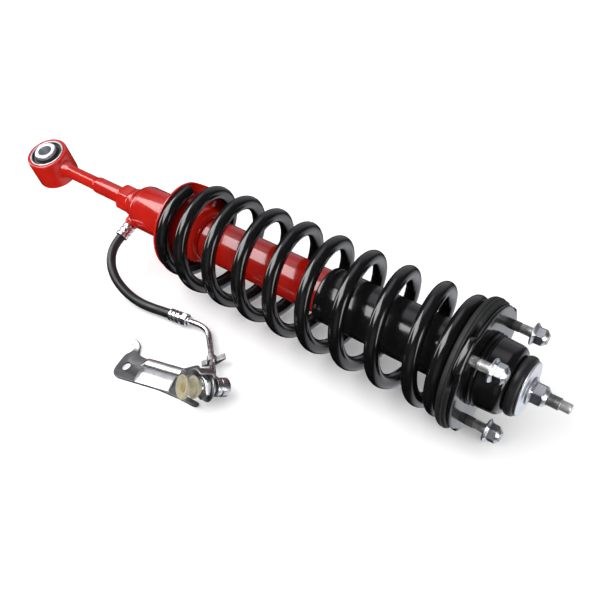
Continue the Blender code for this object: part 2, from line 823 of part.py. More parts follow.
def add_port(strut, paint, chrome):
    boss_radius = 7.4 * MM
    start = 20.0 * MM
    boss_section = [(start, 0.0), (start, boss_radius), (FERRULE_START - GAP, boss_radius - 1 * MM)]
    boss_section.append((FERRULE_START - GAP, 0.0))
    boss = turned("hose_port_boss", boss_section, paint, strut, SMALL_ROUND)
    boss.location = (PORT_X, 0, 0)
    boss.rotation_euler = direction(PORT_AZIMUTH).to_track_quat("X", "Z").to_euler()
    keep = mm([(140, 0), (140, 17.1), (156, 17.1), (159.6, 18.6), (161.8, 21.9), (164.8, 24.6)])
    keep += mm([(167.9, 26.2), (171.7, 26.9), (215, 26.9), (215, 0)])
    cut(boss, turned("body_cutter", keep, paint, strut, ROUND * 2))
    length = FERRULE_END - FERRULE_START
    section = crimped(length, 7.4 * MM, 6.2 * MM, 2)
    ferrule = turned("body_hose_ferrule", section, chrome, None, SMALL_ROUND)
    aim(ferrule, port_place(FERRULE_START), direction(PORT_AZIMUTH))


def add_hose(black_rubber):
    leads = [port_place(FERRULE_END + GAP), port_place(FERRULE_END + LEAD)]
    end = on_surface(FITTING_START)
    points = leads + route(HOSE_ROUTE) + [end - FITTING_ALONG * LEAD, end]
    cord("hydraulic_hose", points, HOSE_RADIUS, 15 * MM, black_rubber, 2)


def add_pipe_fittings(chrome):
    section = crimped(FERRULE_LENGTH, 6.9 * MM, 6.0 * MM, 2)
    ferrule = turned("pipe_hose_ferrule", section, chrome, None, SMALL_ROUND)
    start = on_surface(FITTING_START) + FITTING_ALONG * GAP
    aim(ferrule, start, FITTING_ALONG)

    def collar_section(azimuth):
        side = hex_radius(azimuth, 13.2 * MM, 15.0)
        neck = 5.4 * MM
        end = COLLAR_LENGTH
        return [
            (0.0, 0.0),
            (0.0, neck),
            (1.6 * MM, neck),
            (2.0 * MM, side),
            (8.0 * MM, side),
            (8.6 * MM, neck),
            (end - 0.4 * MM, neck - 0.6 * MM),
            (end, 4.4 * MM),
            (end, 0.0),
        ]

    collar = swept("pipe_collar", collar_section, HEX_SIDES * 2, chrome, None)
    aim(collar, start + FITTING_ALONG * (FERRULE_LENGTH + GAP), FITTING_ALONG)
    pipe_start = start + FITTING_ALONG * (FERRULE_LENGTH + COLLAR_LENGTH + 2 * GAP)
    pipe_end = on_surface(END_CENTRE) + END_SIDE * (END_RADIUS + GAP + 0.1 * MM)
    leads = [pipe_start, pipe_start + FITTING_ALONG * LEAD]
    points = leads + route(PIPE_ROUTE) + [pipe_end + END_SIDE * LEAD, pipe_end]
    cord("hard_pipe", points, PIPE_RADIUS, 7 * MM, chrome, 2)


def add_end_fitting(chrome, zinc, plastic):
    centre = on_surface(END_CENTRE)
    slot = 8.4 * MM
    barrel_section = [(-END_HALF, 0.0), (-END_HALF, END_RADIUS - 1 * MM)]
    barrel_section += [(-END_HALF + 1 * MM, END_RADIUS), (4.5 * MM, END_RADIUS)]
    barrel_section += [(5.0 * MM, slot), (7.0 * MM, slot), (7.5 * MM, END_RADIUS)]
    barrel_section += [(END_HALF, END_RADIUS), (END_HALF, 0.0)]
    barrel = turned("end_fitting_barrel", barrel_section, chrome, None, INNER_ROUND)
    aim(barrel, centre, END_ALONG)

    union_length = 11.0 * MM
    tip = union_length - GAP

    def union_section(azimuth):
        side = hex_radius(azimuth, 22 * MM, 5.0)
        chamfer = (side - 10.6 * MM) * 0.5
        return [
            (0.0, 0.0),
            (0.0, 10.6 * MM),
            (0.3 * MM + chamfer, side),
            (8.6 * MM - chamfer, side),
            (9.0 * MM, 10.6 * MM),
            (9.0 * MM, 7.6 * MM),
            (tip, 7.6 * MM),
            (tip, 4.0 * MM),
            (3.0 * MM, 4.0 * MM),
            (3.0 * MM, 0.0),
        ]

    union = swept("hex_union", union_section, HEX_SIDES * 4, zinc, None)
    start = centre + END_ALONG * (END_HALF + GAP)
    aim(union, start, END_ALONG)
    cap_body = 9.2 * MM
    flange = 12.2 * MM
    cap_section = [(0.0, 0.0), (0.0, cap_body), (15 * MM, cap_body - 1 * MM)]
    cap_section += [(15.4 * MM, flange), (17.8 * MM, flange), (18.4 * MM, flange - 0.6 * MM)]
    cap_section += [(18.4 * MM, 6.5 * MM), (16.2 * MM, 6 * MM), (16.2 * MM, 0.0)]
    cap = turned("transit_cap", cap_section, plastic, None, INNER_ROUND)
    aim(cap, start + END_ALONG * union_length, END_ALONG)


def add_bracket(zinc):
    outline = [(-10, -17), (46, -17), (70, -20), (93, -25), (95, -19), (73, -14), (63, -8)]
    outline += [(63, 11), (79, 30), (73, 36), (56, 17), (13, 17), (-3, 21), (-4, 33), (-10, 33)]
    shape = [(x * MM, y * MM) for x, y in rounded(outline, 4.0)]
    plate = extruded("pipe_bracket", shape, 0.3 * MM, 2.5 * MM, zinc, None)
    plate.location = on_surface(BRACKET_CENTRE)
    plate.rotation_euler = (0, 0, BRACKET_TURN)
    hole_steps = 20
    hole_half = (4.0 * MM, 6.0 * MM)
    ring = []
    for step in range(hole_steps):
        angle = 2 * math.pi * step / hole_steps
        ring.append((hole_half[0] * math.cos(angle), hole_half[1] * math.sin(angle)))
    hole = extruded("bracket_hole", ring, -2 * MM, 5 * MM, zinc, None)
    hole.location = plate.location
    hole.rotation_euler = plate.rotation_euler
    cut(plate, hole)


def add_clip(zinc):
    """A strap folded round the pipe, seen along the pipe, with a flat tail on each side."""
    outside = PIPE_RADIUS + 2.2 * MM
    strap = 1.8 * MM
    low = -outside
    outline = [(-13 * MM, low), (13 * MM, low), (13 * MM, low + strap)]
    for step in range(13):
        angle = math.radians(-30 + 240 * step / 12)
        outline.append((outside * math.cos(angle), outside * math.sin(angle)))
    outline.append((-13 * MM, low + strap))
    half = 5.5 * MM
    clip = extruded("pipe_clip", outline, -half, half, zinc, None)
    side = Vector((0, 0, 1)).cross(CLIP_ALONG)
    stand = Matrix((side, Vector((0, 0, 1)), side.cross(Vector((0, 0, 1))))).transposed()
    clip.rotation_euler = stand.to_euler()
    clip.location = on_surface(CLIP_CENTRE)
    bore = PIPE_RADIUS + GAP + 0.4 * MM
    reach = 12 * MM
    section = [(-reach, 0.0), (-reach, bore), (reach, bore), (reach, 0.0)]
    cutter = turned("clip_cutter", section, zinc, None, SMALL_ROUND)
    aim(cutter, clip.location, CLIP_ALONG)
    cut(clip, cutter)


def main():
    clear_scene()
    red = material("red_paint", (0.48, 0.012, 0.006), 0.0, 0.22)
    gloss = material("black_gloss", (0.012, 0.012, 0.014), 0.0, 0.18)
    rubber = material("black_rubber", (0.03, 0.03, 0.03), 0.0, 0.75)
    zinc = material("bright_zinc", (0.72, 0.74, 0.78), 1.0, 0.3)
    chrome = material("chrome", (0.75, 0.76, 0.78), 1.0, 0.12)
    steel = material("ground_steel", (0.6, 0.6, 0.62), 1.0, 0.2)
    bronze = material("sintered_bronze", (0.5, 0.36, 0.2), 1.0, 0.45)
    foam = material("bump_foam", (0.5, 0.45, 0.3), 0.0, 0.9)
    plastic = material("cream_plastic", (0.75, 0.72, 0.6), 0.0, 0.4)

    strut = bpy.data.objects.new("strut_body_frame", None)
    rod_carrier = bpy.data.objects.new("rod_frame", None)
    for frame in (strut, rod_carrier):
        bpy.context.collection.objects.link(frame)
        frame.location = (EYE_X, AXIS_Y, AXIS_HEIGHT)

    across = add_eye(strut, red, zinc, rubber)
    add_shank(strut, red, across)
    add_collar(strut, red)
    add_lower_body(strut, red)
    add_damper_inside(strut, rod_carrier, steel, bronze, rubber)
    add_cover_and_bump_stop(rod_carrier, gloss, foam)
    add_spring(strut, gloss)
    add_lower_seat(strut, red)
    add_insulator(rod_carrier, rubber)
    add_mount_plate(rod_carrier, gloss)
    add_cup(rod_carrier, gloss)
    add_mount_bush(rod_carrier, rubber, zinc)
    add_lock_nut(rod_carrier, zinc)
    add_studs(rod_carrier, zinc)
    add_port(strut, red, chrome)
    add_hose(rubber)
    add_pipe_fittings(chrome)
    add_end_fitting(chrome, zinc, plastic)
    add_bracket(zinc)
    add_clip(zinc)


main()
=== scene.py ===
"""Looks of a coil-over suspension strut with a hydraulic hose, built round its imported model.

The strut lies along +X on the floor. Most pieces are made in the strut's own frame, whose origin
is the centre of the lower eye and whose X axis is the damper's. Directions round the strut are
azimuths in degrees, from +Y towards +Z. Lengths and places are in millimetres, and finished() and
line_curve() hand them to Blender in metres.
"""

import json
import math

import bmesh
import bpy
from mathutils import Matrix, Vector


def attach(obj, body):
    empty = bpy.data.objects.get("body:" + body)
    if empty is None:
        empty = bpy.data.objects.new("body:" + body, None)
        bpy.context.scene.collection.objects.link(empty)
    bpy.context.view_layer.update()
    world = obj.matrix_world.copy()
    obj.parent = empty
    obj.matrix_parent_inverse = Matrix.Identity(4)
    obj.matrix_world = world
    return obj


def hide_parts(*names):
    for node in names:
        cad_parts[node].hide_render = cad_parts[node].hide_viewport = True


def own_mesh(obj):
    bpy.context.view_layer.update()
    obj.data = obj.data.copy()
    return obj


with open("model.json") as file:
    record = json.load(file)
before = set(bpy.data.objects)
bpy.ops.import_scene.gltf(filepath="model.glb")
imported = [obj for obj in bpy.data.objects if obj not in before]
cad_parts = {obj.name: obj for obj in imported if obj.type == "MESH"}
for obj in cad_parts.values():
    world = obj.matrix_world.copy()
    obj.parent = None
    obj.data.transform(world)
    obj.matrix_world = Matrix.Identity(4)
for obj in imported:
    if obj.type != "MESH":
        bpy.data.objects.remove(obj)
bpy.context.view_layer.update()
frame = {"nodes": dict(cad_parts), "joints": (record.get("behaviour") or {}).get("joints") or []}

MM = 0.001
GAP = 0.3

JOINTS = {joint["name"]: joint for joint in frame["joints"]}
EYE_CENTRE = Vector(JOINTS["eye_bush_twist"]["pos_m"]) / MM
EYE_AXIS = Vector(JOINTS["eye_bush_twist"]["axis"]).normalized()
END_ALONG = Vector(JOINTS["cap_pull"]["axis"]).normalized()
STRUT = Matrix.Translation(EYE_CENTRE)

STRUT_BODY = "strut_body"
ROD_BODY = "rod_and_mount"

# Sizes of the round pieces.
EYE_RADIUS = 26.0
EYE_UPPER = 17.5
EYE_LOWER = 21.0
EYE_BORE = 21.3
BUSH_CORE = 13.5
BUSH_BORE = 8.2
BUSH_UPPER = 22.5
BUSH_LOWER = 26.0
THIN_SHANK_RADIUS = 8.25
SHANK_RADIUS = 10.0
LOWER_BODY_RADIUS = 26.5
TUBE_RADIUS = 24.0
ROD_RADIUS = 10.0
ROD_THREAD_RADIUS = 6.0
ROD_TIP_RADIUS = 4.75
COVER_RADIUS = 29.8
WIRE_RADIUS = 7.5
COIL_RADIUS = 53.5
LOW_END_COIL_RADIUS = 46.5
COIL_PITCH = 40.4
SEAT_RADIUS = 51.5
INSULATOR_RADIUS = 65.6
PLATE_RADIUS = 62.5
STUD_CIRCLE = 58.0
STUD_RADIUS = 5.0
CUP_RADIUS = 35.6
WASHER_RADIUS = 26.8
HOSE_RADIUS = 5.25
PIPE_RADIUS = 3.0

# Stations along the strut, from the eye's centre.
COLLAR_X = 131.0
CAP_X = 149.0
LOWER_BODY_X = 172.0
SEAT_X = 231.0
TUBE_END_X = 470.0
COVER_X = 431.0
INSULATOR_X = 602.0
PLATE_X = 602.3
PLATE_TOP_X = 606.3
CUP_END_X = 637.5
NUT_X = 652.1
THREAD_END_X = 680.0
TIP_X = 690.0
STUD_NUT_X = 626.5
STUD_NUT_FLANGE = 11.5
ROD_NUT_FLANGE = 13.6

STUD_AZIMUTHS = (13.3, 133.3, 253.3)
PORT_AZIMUTH = 205.0

# The spring's turns are counted from COIL_ZERO, and turn 0 is where the full pitch starts.
COIL_ZERO = 43.3
FIRST_TURN = -1.889
LAST_TURN = 7.7
TURN_ZERO_X = 300.7
LOW_END_PITCH = 20.0
LOW_BLEND_TURNS = 1.3
HIGH_END_PITCH = 2.0
HIGH_BLEND_START = 6.2

ROUND = 128
FINE_ROUND = 240
SMALL_ROUND = 64
HEX_SIDES = 6

# Hose and pipe: places are (station, distance beside the axis, height above the floor).
PORT_X = 166.5
FERRULE_START = 29.4
FERRULE_END = 46.0
LEAD = 3.0
HOSE_ROUTE = (
    (167.2, -51.6, 43.1),
    (169.9, -59.8, 39.0),
    (175.4, -67.9, 34.4),
    (183.7, -75.0, 29.0),
    (194.4, -80.0, 23.0),
    (206.8, -82.4, 16.9),
    (220.2, -82.7, 11.6),
    (234.0, -81.3, 8.3),
    (247.5, -79.2, 7.5),
    (260.0, -76.8, 7.6),
)
FITTING_START = Vector((272.0, -74.6, 7.7))
FITTING_ALONG = Vector((0.985, 0.174, 0.0))
FERRULE_LENGTH = 14.0
COLLAR_LENGTH = 11.4
PIPE_ROUTE = (
    (303.0, -68.6, 7.3),
    (310.0, -67.4, 6.6),
    (316.5, -67.5, 5.8),
    (322.5, -69.6, 5.2),
    (328.0, -73.6, 5.0),
    (334.0, -79.2, 5.4),
    (341.0, -85.7, 7.2),
    (349.0, -93.3, 8.3),
    (357.0, -101.0, 8.6),
    (365.0, -108.7, 9.2),
    (372.0, -115.6, 11.6),
    (377.5, -120.9, 14.4),
)
END_CENTRE = Vector((391.5, -129.8, 13.8))
END_SIDE = Vector((-0.860, 0.495, 0.127)).normalized()
END_RADIUS = 9.5
END_HALF = 11.0
BRACKET_CENTRE = Vector((288.0, -157.0, 0.0))
BRACKET_TURN = math.atan2(0.277, 0.961)
CLIP_CENTRE = Vector((357.0, -101.0, 8.6))
CLIP_ALONG = Vector((0.72, -0.694, 0.0)).normalized()

# The camera: where it stands from the eye's centre, in metres, and where it looks from.
CAMERA_OFFSET = Vector((0.7784, -0.5112, 0.5145))
CAMERA_AZIMUTH = 37.28
CAMERA_ELEVATION = 40.18
CAMERA_LENS = 47.26
CAMERA_SHIFT = (0.0070, -0.0014)

# The room's light, and its pale screens: (direction, where it starts and is full, strength).
ROOM_STRENGTH = 0.90
ROOM_SCREENS = (
    ((-0.38, 0.25, 0.89), 0.87, 0.985, 1.0),
    ((-0.30, 0.90, 0.30), 0.74, 0.97, 0.4),
    ((0.60, 0.45, -0.66), 0.62, 0.93, 0.9),
    ((0.30, -0.90, 0.10), 0.85, 0.98, 0.25),
)


# Geometry helpers


def in_metres(place):
    """The same frame with its origin in metres."""
    moved = place.copy()
    moved.translation *= MM
    return moved


def smooth_step(value):
    t = min(max(value, 0.0), 1.0)
    return t * t * (3 - 2 * t)


def direction(azimuth):
    angle = math.radians(azimuth)
    return Vector((0.0, math.cos(angle), math.sin(angle)))


def arc(radius, start, end, steps, centre=(0.0, 0.0)):
    """Outline points along an arc between two angles in degrees."""
    angles = [math.radians(start + (end - start) * step / steps) for step in range(steps + 1)]
    x, y = centre
    return [(x + radius * math.cos(angle), y + radius * math.sin(angle)) for angle in angles]


def aimed(start, along):
    """A frame at start whose X axis points along that direction."""
    return Matrix.Translation(start) @ Vector(along).to_track_quat("X", "Z").to_matrix().to_4x4()


def eased(section, reach=0.5, steps=3, closed=True):
    """The outline with its corners rounded off over that reach."""
    smooth = []
    last = len(section) - 1
    for i, corner in enumerate(section):
        if not closed and i in (0, last):
            smooth.append(corner)
            continue
        here = Vector(corner)
        before = Vector(section[i - 1]) - here
        after = Vector(section[(i + 1) % len(section)]) - here
        start = here + before.normalized() * min(reach, before.length / 2.2)
        end = here + after.normalized() * min(reach, after.length / 2.2)
        for step in range(steps + 1):
            t = step / steps
            point = (1 - t) ** 2 * start + 2 * t * (1 - t) * here + t * t * end
            smooth.append((point.x, point.y))
    return smooth


def finished(name, bm, finish, place, sharp=38.0):
    """Turns a bmesh in millimetres into a smooth-shaded object that stands in that frame."""
    bmesh.ops.recalc_face_normals(bm, faces=bm.faces)
    bmesh.ops.scale(bm, vec=(MM, MM, MM), verts=bm.verts)
    mesh = bpy.data.meshes.new(name)
    bm.to_mesh(mesh)
    bm.free()
    mesh.shade_smooth()
    mesh.set_sharp_from_angle(angle=math.radians(sharp))
    mesh.materials.append(finish)
    obj = bpy.data.objects.new(name, mesh)
    bpy.context.scene.collection.objects.link(obj)
    obj.matrix_world = in_metres(place)
    return obj


def swept(name, section_at, segments, finish, place=STRUT, sharp=38.0):
    """A closed body round the X axis of that frame.

    section_at(azimuth) gives its outline as (x, radius) points: a closed loop, or an open line
    that starts and ends on the axis.
    """
    bm = bmesh.new()
    on_axis = section_at(0.0)[0][1] == 0.0
    rings = []
    for step in range(segments):
        azimuth = 360.0 * step / segments
        side = direction(azimuth)
        section = section_at(azimuth)
        if on_axis:
            section = section[1:-1]
        rings.append([bm.verts.new(Vector((x, 0, 0)) + side * r) for x, r in section])
    count = len(rings[0])
    for here, there in zip(rings, rings[1:] + rings[:1]):
        for i in range(count - 1 if on_axis else count):
            j = (i + 1) % count
            bm.faces.new((here[i], here[j], there[j], there[i]))
    if on_axis:
        for index in (0, -1):
            pole = bm.verts.new((section_at(0.0)[index][0], 0, 0))
            for here, there in zip(rings, rings[1:] + rings[:1]):
                bm.faces.new((pole, here[index], there[index]))
    return finished(name, bm, finish, place, sharp)


def turned(name, section, finish, place=STRUT, segments=ROUND, reach=0.5):
    """A turned body, its corners rounded off."""
    closed = section[0][1] != 0.0
    outline = eased(section, reach, closed=closed)
    return swept(name, lambda azimuth: outline, segments, finish, place)


def ring(name, x0, x1, inner, outer, finish, place=STRUT, segments=ROUND, reach=0.5):
    section = [(x0, inner), (x0, outer), (x1, outer), (x1, inner)]
    return turned(name, section, finish, place, segments, reach)


def hex_radius(azimuth, flats, turn=0.0, corner=0.985):
    """Distance from the axis to the side of a hexagon with eased corners, in that direction."""
    side = 360.0 / HEX_SIDES
    away = math.radians((azimuth - turn) % side - side / 2)
    return min(flats / 2 / math.cos(away), flats / 2 / math.cos(math.radians(side / 2)) * corner)


def thread_line(x0, x1, radius, pitch, azimuth, depth=None):
    """Points of a threaded outline from x0 to x1 at that azimuth, crests at the radius."""
    depth = pitch * 0.55 if depth is None else depth
    steps = max(2, round((x1 - x0) / pitch * 6))
    points = []
    for step in range(steps + 1):
        x = x0 + (x1 - x0) * step / steps
        phase = ((x - x0) / pitch - azimuth / 360.0) % 1.0
        wave = min(1.0, max(0.0, 1.6 - abs(phase - 0.5) * 4.2))
        near_end = min(1.0, (x - x0) / pitch, (x1 - x) / pitch)
        points.append((x, radius - depth * (1 - wave) * max(near_end, 0.25)))
    return points


def tube_along(name, centres, sides, radius_at, finish, normal=None, ends=True):
    """A mesh tube through the points; radius_at(share of the way, angle) gives its radius.

    Angles start from that normal, or from any one.
    """
    bm = bmesh.new()
    rings = []
    last = len(centres) - 1
    for i, here in enumerate(centres):
        along = (centres[min(i + 1, last)] - centres[max(i - 1, 0)]).normalized()
        if normal is None:
            normal = along.orthogonal().normalized()
        normal = (normal - along * normal.dot(along)).normalized()
        across = along.cross(normal)
        loop = []
        for side in range(sides):
            angle = 2 * math.pi * side / sides
            offset = normal * math.cos(angle) + across * math.sin(angle)
            loop.append(bm.verts.new(here + offset * radius_at(i / last, angle)))
        rings.append(loop)
    for here, there in zip(rings, rings[1:]):
        for i in range(sides):
            j = (i + 1) % sides
            bm.faces.new((here[i], here[j], there[j], there[i]))
    if ends:
        bm.faces.new(rings[0])
        bm.faces.new(rings[-1])
    return finished(name, bm, finish, Matrix.Identity(4))


def plate_from(name, outline, z0, z1, finish, place, edge=0.4):
    """A flat plate from an outline of (x, y) points, with its edges broken by a small bevel."""
    bm = bmesh.new()
    face = bm.faces.new([bm.verts.new((x, y, z0)) for x, y in outline])
    grown = bmesh.ops.extrude_face_region(bm, geom=[face])
    raised = [item for item in grown["geom"] if isinstance(item, bmesh.types.BMVert)]
    bmesh.ops.translate(bm, vec=(0, 0, z1 - z0), verts=raised)
    plate = finished(name, bm, finish, place, sharp=50.0)
    bevel = plate.modifiers.new("edge", "BEVEL")
    bevel.width = edge * MM
    bevel.segments = 3
    bevel.limit_method = "ANGLE"
    bevel.angle_limit = math.radians(40)
    bevel.harden_normals = False
    return plate


def piece(obj, slot, *nodes, body=STRUT_BODY):
    """Rides the object on a body and hides the model nodes it stands for; its slot is not used."""
    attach(obj, body)
    if nodes:
        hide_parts(*nodes)
    return obj


# Materials


def add_node(tree, kind, source=None, values=()):
    """A new node with those input values, its first input fed by the source."""
    node = tree.nodes.new("ShaderNode" + kind)
    for name, value in dict(values).items():
        node.inputs[name].default_value = value
    if source is not None:
        tree.links.new(source, node.inputs[0])
    return node


class Finish:
    """A procedural Principled material, built up from noise, ramps and bumps."""

    def __init__(self, name, metallic=0.0, coat=0.0, coat_roughness=0.1, specular=0.5):
        self.material = bpy.data.materials.new(name)
        self.material.use_nodes = True
        self.tree = self.material.node_tree
        self.shader = self.tree.nodes["Principled BSDF"]
        self.shader.inputs["Metallic"].default_value = metallic
        self.shader.inputs["Coat Weight"].default_value = coat
        self.shader.inputs["Coat Roughness"].default_value = coat_roughness
        self.shader.inputs["Specular IOR Level"].default_value = specular
        self.place = self.tree.nodes.new("ShaderNodeTexCoord").outputs["Object"]
        self.normal = None

    def noise(self, scale, detail=3.0, roughness=0.55, stretch=None):
        source = self.place
        if stretch:
            source = add_node(self.tree, "Mapping", source, {"Scale": stretch}).outputs["Vector"]
        values = {"Scale": scale, "Detail": detail, "Roughness": roughness}
        return add_node(self.tree, "TexNoise", source, values).outputs["Fac"]

    def cells(self, scale):
        node = add_node(self.tree, "TexVoronoi", self.place, {"Scale": scale})
        return node.outputs["Distance"]

    def ramp(self, source, stops):
        node = add_node(self.tree, "ValToRGB", source)
        elements = node.color_ramp.elements
        while len(elements) < len(stops):
            elements.new(0.5)
        for element, (position, colour) in zip(elements, stops):
            element.position = position
            element.color = (*colour, 1.0)
        return node.outputs["Color"]

    def blend(self, share, first, second):
        """Two colours mixed by a value between 0 and 1."""
        node = self.tree.nodes.new("ShaderNodeMix")
        node.data_type = "RGBA"
        self.tree.links.new(share, node.inputs["Factor"])
        colours = [socket for socket in node.inputs if socket.type == "RGBA"]
        for socket, colour in zip(colours, (first, second)):
            if isinstance(colour, tuple):
                socket.default_value = (*colour, 1.0)
            else:
                self.tree.links.new(colour, socket)
        return [socket for socket in node.outputs if socket.type == "RGBA"][0]

    def between(self, source, low, high, source_low=0.3, source_high=0.7):
        limits = {"From Min": source_low, "From Max": source_high, "To Min": low, "To Max": high}
        return add_node(self.tree, "MapRange", source, limits).outputs["Result"]

    def colour(self, source):
        self.tree.links.new(source, self.shader.inputs["Base Color"])
        return self

    def mottled(self, noise, dark, light, start=0.3, end=0.7):
        """A base colour that drifts between two shades along that noise."""
        return self.colour(self.ramp(noise, [(start, dark), (end, light)]))

    def rough(self, noise, low, high, *source_range):
        value = self.between(noise, low, high, *source_range)
        self.tree.links.new(value, self.shader.inputs["Roughness"])
        return self

    def bump(self, height, distance, strength=1.0):
        node = add_node(self.tree, "Bump", values={"Strength": strength, "Distance": distance})
        self.tree.links.new(height, node.inputs["Height"])
        if self.normal:
            self.tree.links.new(self.normal, node.inputs["Normal"])
        self.normal = node.outputs["Normal"]
        self.tree.links.new(self.normal, self.shader.inputs["Normal"])
        return self


def red_paint():
    """Gloss enamel: slight shade changes, orange peel, dull patches and a few dust nibs."""
    made = Finish("red_enamel", coat=0.45, coat_roughness=0.04, specular=0.4)
    shades = [(0.35, (0.38, 0.0060, 0.0022)), (0.65, (0.45, 0.0085, 0.0030))]
    nibs = made.between(made.cells(900), 1.0, 0.0, 0.05, 0.12)
    faint = made.between(nibs, 0.0, 0.25, 0, 1)
    made.colour(made.blend(faint, made.ramp(made.noise(22, 4), shades), (0.30, 0.016, 0.008)))
    made.rough(made.noise(60, 5), 0.12, 0.21)
    return made.bump(made.noise(420, 2), 0.000008).bump(made.noise(2600, 1), 0.000001).material


def black_gloss(name, dark, light):
    """Black powder coat: glossy, with orange peel, faint mottling and handling marks."""
    made = Finish(name, coat=0.35, coat_roughness=0.05, specular=0.45)
    made.mottled(made.noise(30, 5), dark, light, 0.35, 0.68)
    marks = made.noise(40, 6, 0.7, (1, 6, 6))
    made.rough(marks, 0.13, 0.24, 0.35, 0.75)
    return made.bump(made.noise(520, 2), 0.000009).bump(made.noise(3000, 2), 0.000001).material


def moulded_rubber(name, dark, light, roughness=(0.5, 0.7), grain=1400, specular=0.35):
    """Moulded rubber: a fine grain, pale bloom in patches and a few pits."""
    made = Finish(name, specular=specular)
    made.mottled(made.noise(35, 6, 0.65), dark, light, 0.35, 0.72)
    made.rough(made.noise(90, 4), *roughness)
    pits = made.between(made.cells(grain * 0.35), 0.0, 1.0, 0.02, 0.14)
    return made.bump(made.noise(grain, 3), 0.00003).bump(pits, 0.00001).material


def hose_rubber():
    """Hose cover: a fine grain and a dry, dusty sheen."""
    made = Finish("hose_cover", specular=0.4)
    shades = ((0.0055, 0.0055, 0.006), (0.016, 0.016, 0.017))
    made.mottled(made.noise(50, 6, 0.6), *shades, 0.3, 0.75)
    made.rough(made.noise(120, 4), 0.3, 0.48)
    return made.bump(made.noise(900, 2), 0.00003).bump(made.noise(4000, 2), 0.000004).material


def plated(name, cool, warm, roughness, lines=True, grain=0.000003):
    """Zinc plate on turned or pressed steel: cloudy tint, tool lines and small dings."""
    made = Finish(name, metallic=1.0)
    cloud = made.ramp(made.noise(70, 5, 0.6), [(0.32, cool), (0.5, warm), (0.7, cool)])
    spots = made.between(made.noise(600, 3), 0.0, 0.25, 0.58, 0.75)
    made.colour(made.blend(spots, cloud, tuple(value * 0.6 for value in cool)))
    made.rough(made.noise(160, 5), *roughness)
    if lines:
        made.bump(made.noise(1, 2, stretch=(5200, 120, 120)), grain)
    return made.bump(made.noise(500, 3), 0.000006).material


def ground_steel():
    made = Finish("ground_steel", metallic=1.0)
    made.mottled(made.noise(80, 4), (0.46, 0.46, 0.48), (0.62, 0.62, 0.63))
    made.rough(made.noise(1, 4, stretch=(3000, 60, 60)), 0.16, 0.32)
    return made.bump(made.noise(1, 2, stretch=(7000, 100, 100)), 0.000002).material


def threaded_steel(name, dark, light):
    """Dull steel of the threads: oily dark hollows and crests that rub brighter."""
    made = Finish(name, metallic=0.85)
    made.mottled(made.noise(240, 5), dark, light)
    made.rough(made.noise(500, 3), 0.34, 0.5)
    return made.bump(made.noise(1500, 2), 0.000008).material


def sintered_bronze():
    made = Finish("sintered_bronze", metallic=1.0)
    made.mottled(made.noise(300, 5), (0.26, 0.17, 0.08), (0.45, 0.32, 0.17))
    made.rough(made.noise(700, 3), 0.35, 0.6)
    return made.bump(made.cells(2400), 0.00004).material


def foam():
    made = Finish("bump_stop_foam", specular=0.2)
    made.mottled(made.noise(150, 5), (0.40, 0.33, 0.17), (0.58, 0.52, 0.32))
    made.rough(made.noise(300, 3), 0.75, 0.95)
    return made.bump(made.cells(1300), 0.00018).material


def cream_plastic():
    """Translucent cream polyethylene with flow marks."""
    made = Finish("cream_polyethylene", specular=0.4)
    made.shader.inputs["Subsurface Weight"].default_value = 0.35
    made.shader.inputs["Subsurface Radius"].default_value = (0.8, 0.6, 0.35)
    made.shader.inputs["Subsurface Scale"].default_value = 0.004
    flow = made.noise(60, 4, 0.6, (1, 2.5, 2.5))
    made.mottled(flow, (0.29, 0.26, 0.17), (0.37, 0.34, 0.24))
    made.rough(made.noise(220, 3), 0.34, 0.52)
    return made.bump(made.noise(500, 3), 0.00004).material


def amber_plastic():
    """The cap's thicker middle, which looks yellower."""
    made = Finish("amber_polyethylene", specular=0.4)
    made.mottled(made.noise(140, 4), (0.25, 0.18, 0.06), (0.32, 0.25, 0.11))
    made.rough(made.noise(260, 3), 0.35, 0.55)
    return made.bump(made.noise(600, 3), 0.00003).material


def pale_floor():
    made = Finish("studio_floor", specular=0.2)
    made.shader.inputs["Emission Color"].default_value = (1.0, 1.0, 1.0, 1.0)
    made.shader.inputs["Emission Strength"].default_value = 0.12
    made.mottled(made.noise(3, 2), (0.93, 0.93, 0.935), (0.95, 0.95, 0.955))
    made.rough(made.noise(8, 3), 0.7, 0.85)
    return made.bump(made.noise(300, 2), 0.00002).material


RED = red_paint()
GLOSS = black_gloss("black_powder_coat", (0.003, 0.003, 0.0033), (0.006, 0.006, 0.0065))
COVER_BLACK = black_gloss("moulded_cover", (0.006, 0.006, 0.0065), (0.011, 0.011, 0.012))
RUBBER = moulded_rubber(
    "bush_rubber_black", (0.007, 0.007, 0.0075), (0.016, 0.016, 0.017), (0.34, 0.5), 1400, 0.5
)
INSULATOR = moulded_rubber(
    "insulator_rubber", (0.009, 0.010, 0.009), (0.018, 0.019, 0.018), (0.5, 0.7), 1100
)
HOSE = hose_rubber()
ZINC = plated("clear_zinc", (0.66, 0.69, 0.78), (0.78, 0.79, 0.80), (0.24, 0.38))
PALE_ZINC = plated("pale_zinc", (0.80, 0.83, 0.92), (0.88, 0.89, 0.92), (0.3, 0.44))
SHEET_ZINC = plated("sheet_zinc", (0.40, 0.41, 0.42), (0.50, 0.50, 0.50), (0.26, 0.4), lines=False)
# Painted shade: a much darker copy of the sheet zinc, for the bracket's flat plate only.
SHADED_SHEET_ZINC = plated("shaded_sheet_zinc", (0.11, 0.11, 0.115), (0.145, 0.145, 0.145), (0.3, 0.42), lines=False)
CHROME = plated("bright_plate", (0.70, 0.71, 0.75), (0.80, 0.80, 0.82), (0.17, 0.3), lines=False)
STEEL = ground_steel()
THREAD = threaded_steel("threaded_steel", (0.16, 0.16, 0.155), (0.34, 0.34, 0.33))
STUD_STEEL = threaded_steel("stud_thread", (0.52, 0.52, 0.51), (0.74, 0.74, 0.73))
BRONZE = sintered_bronze()
FOAM = foam()
CREAM = cream_plastic()
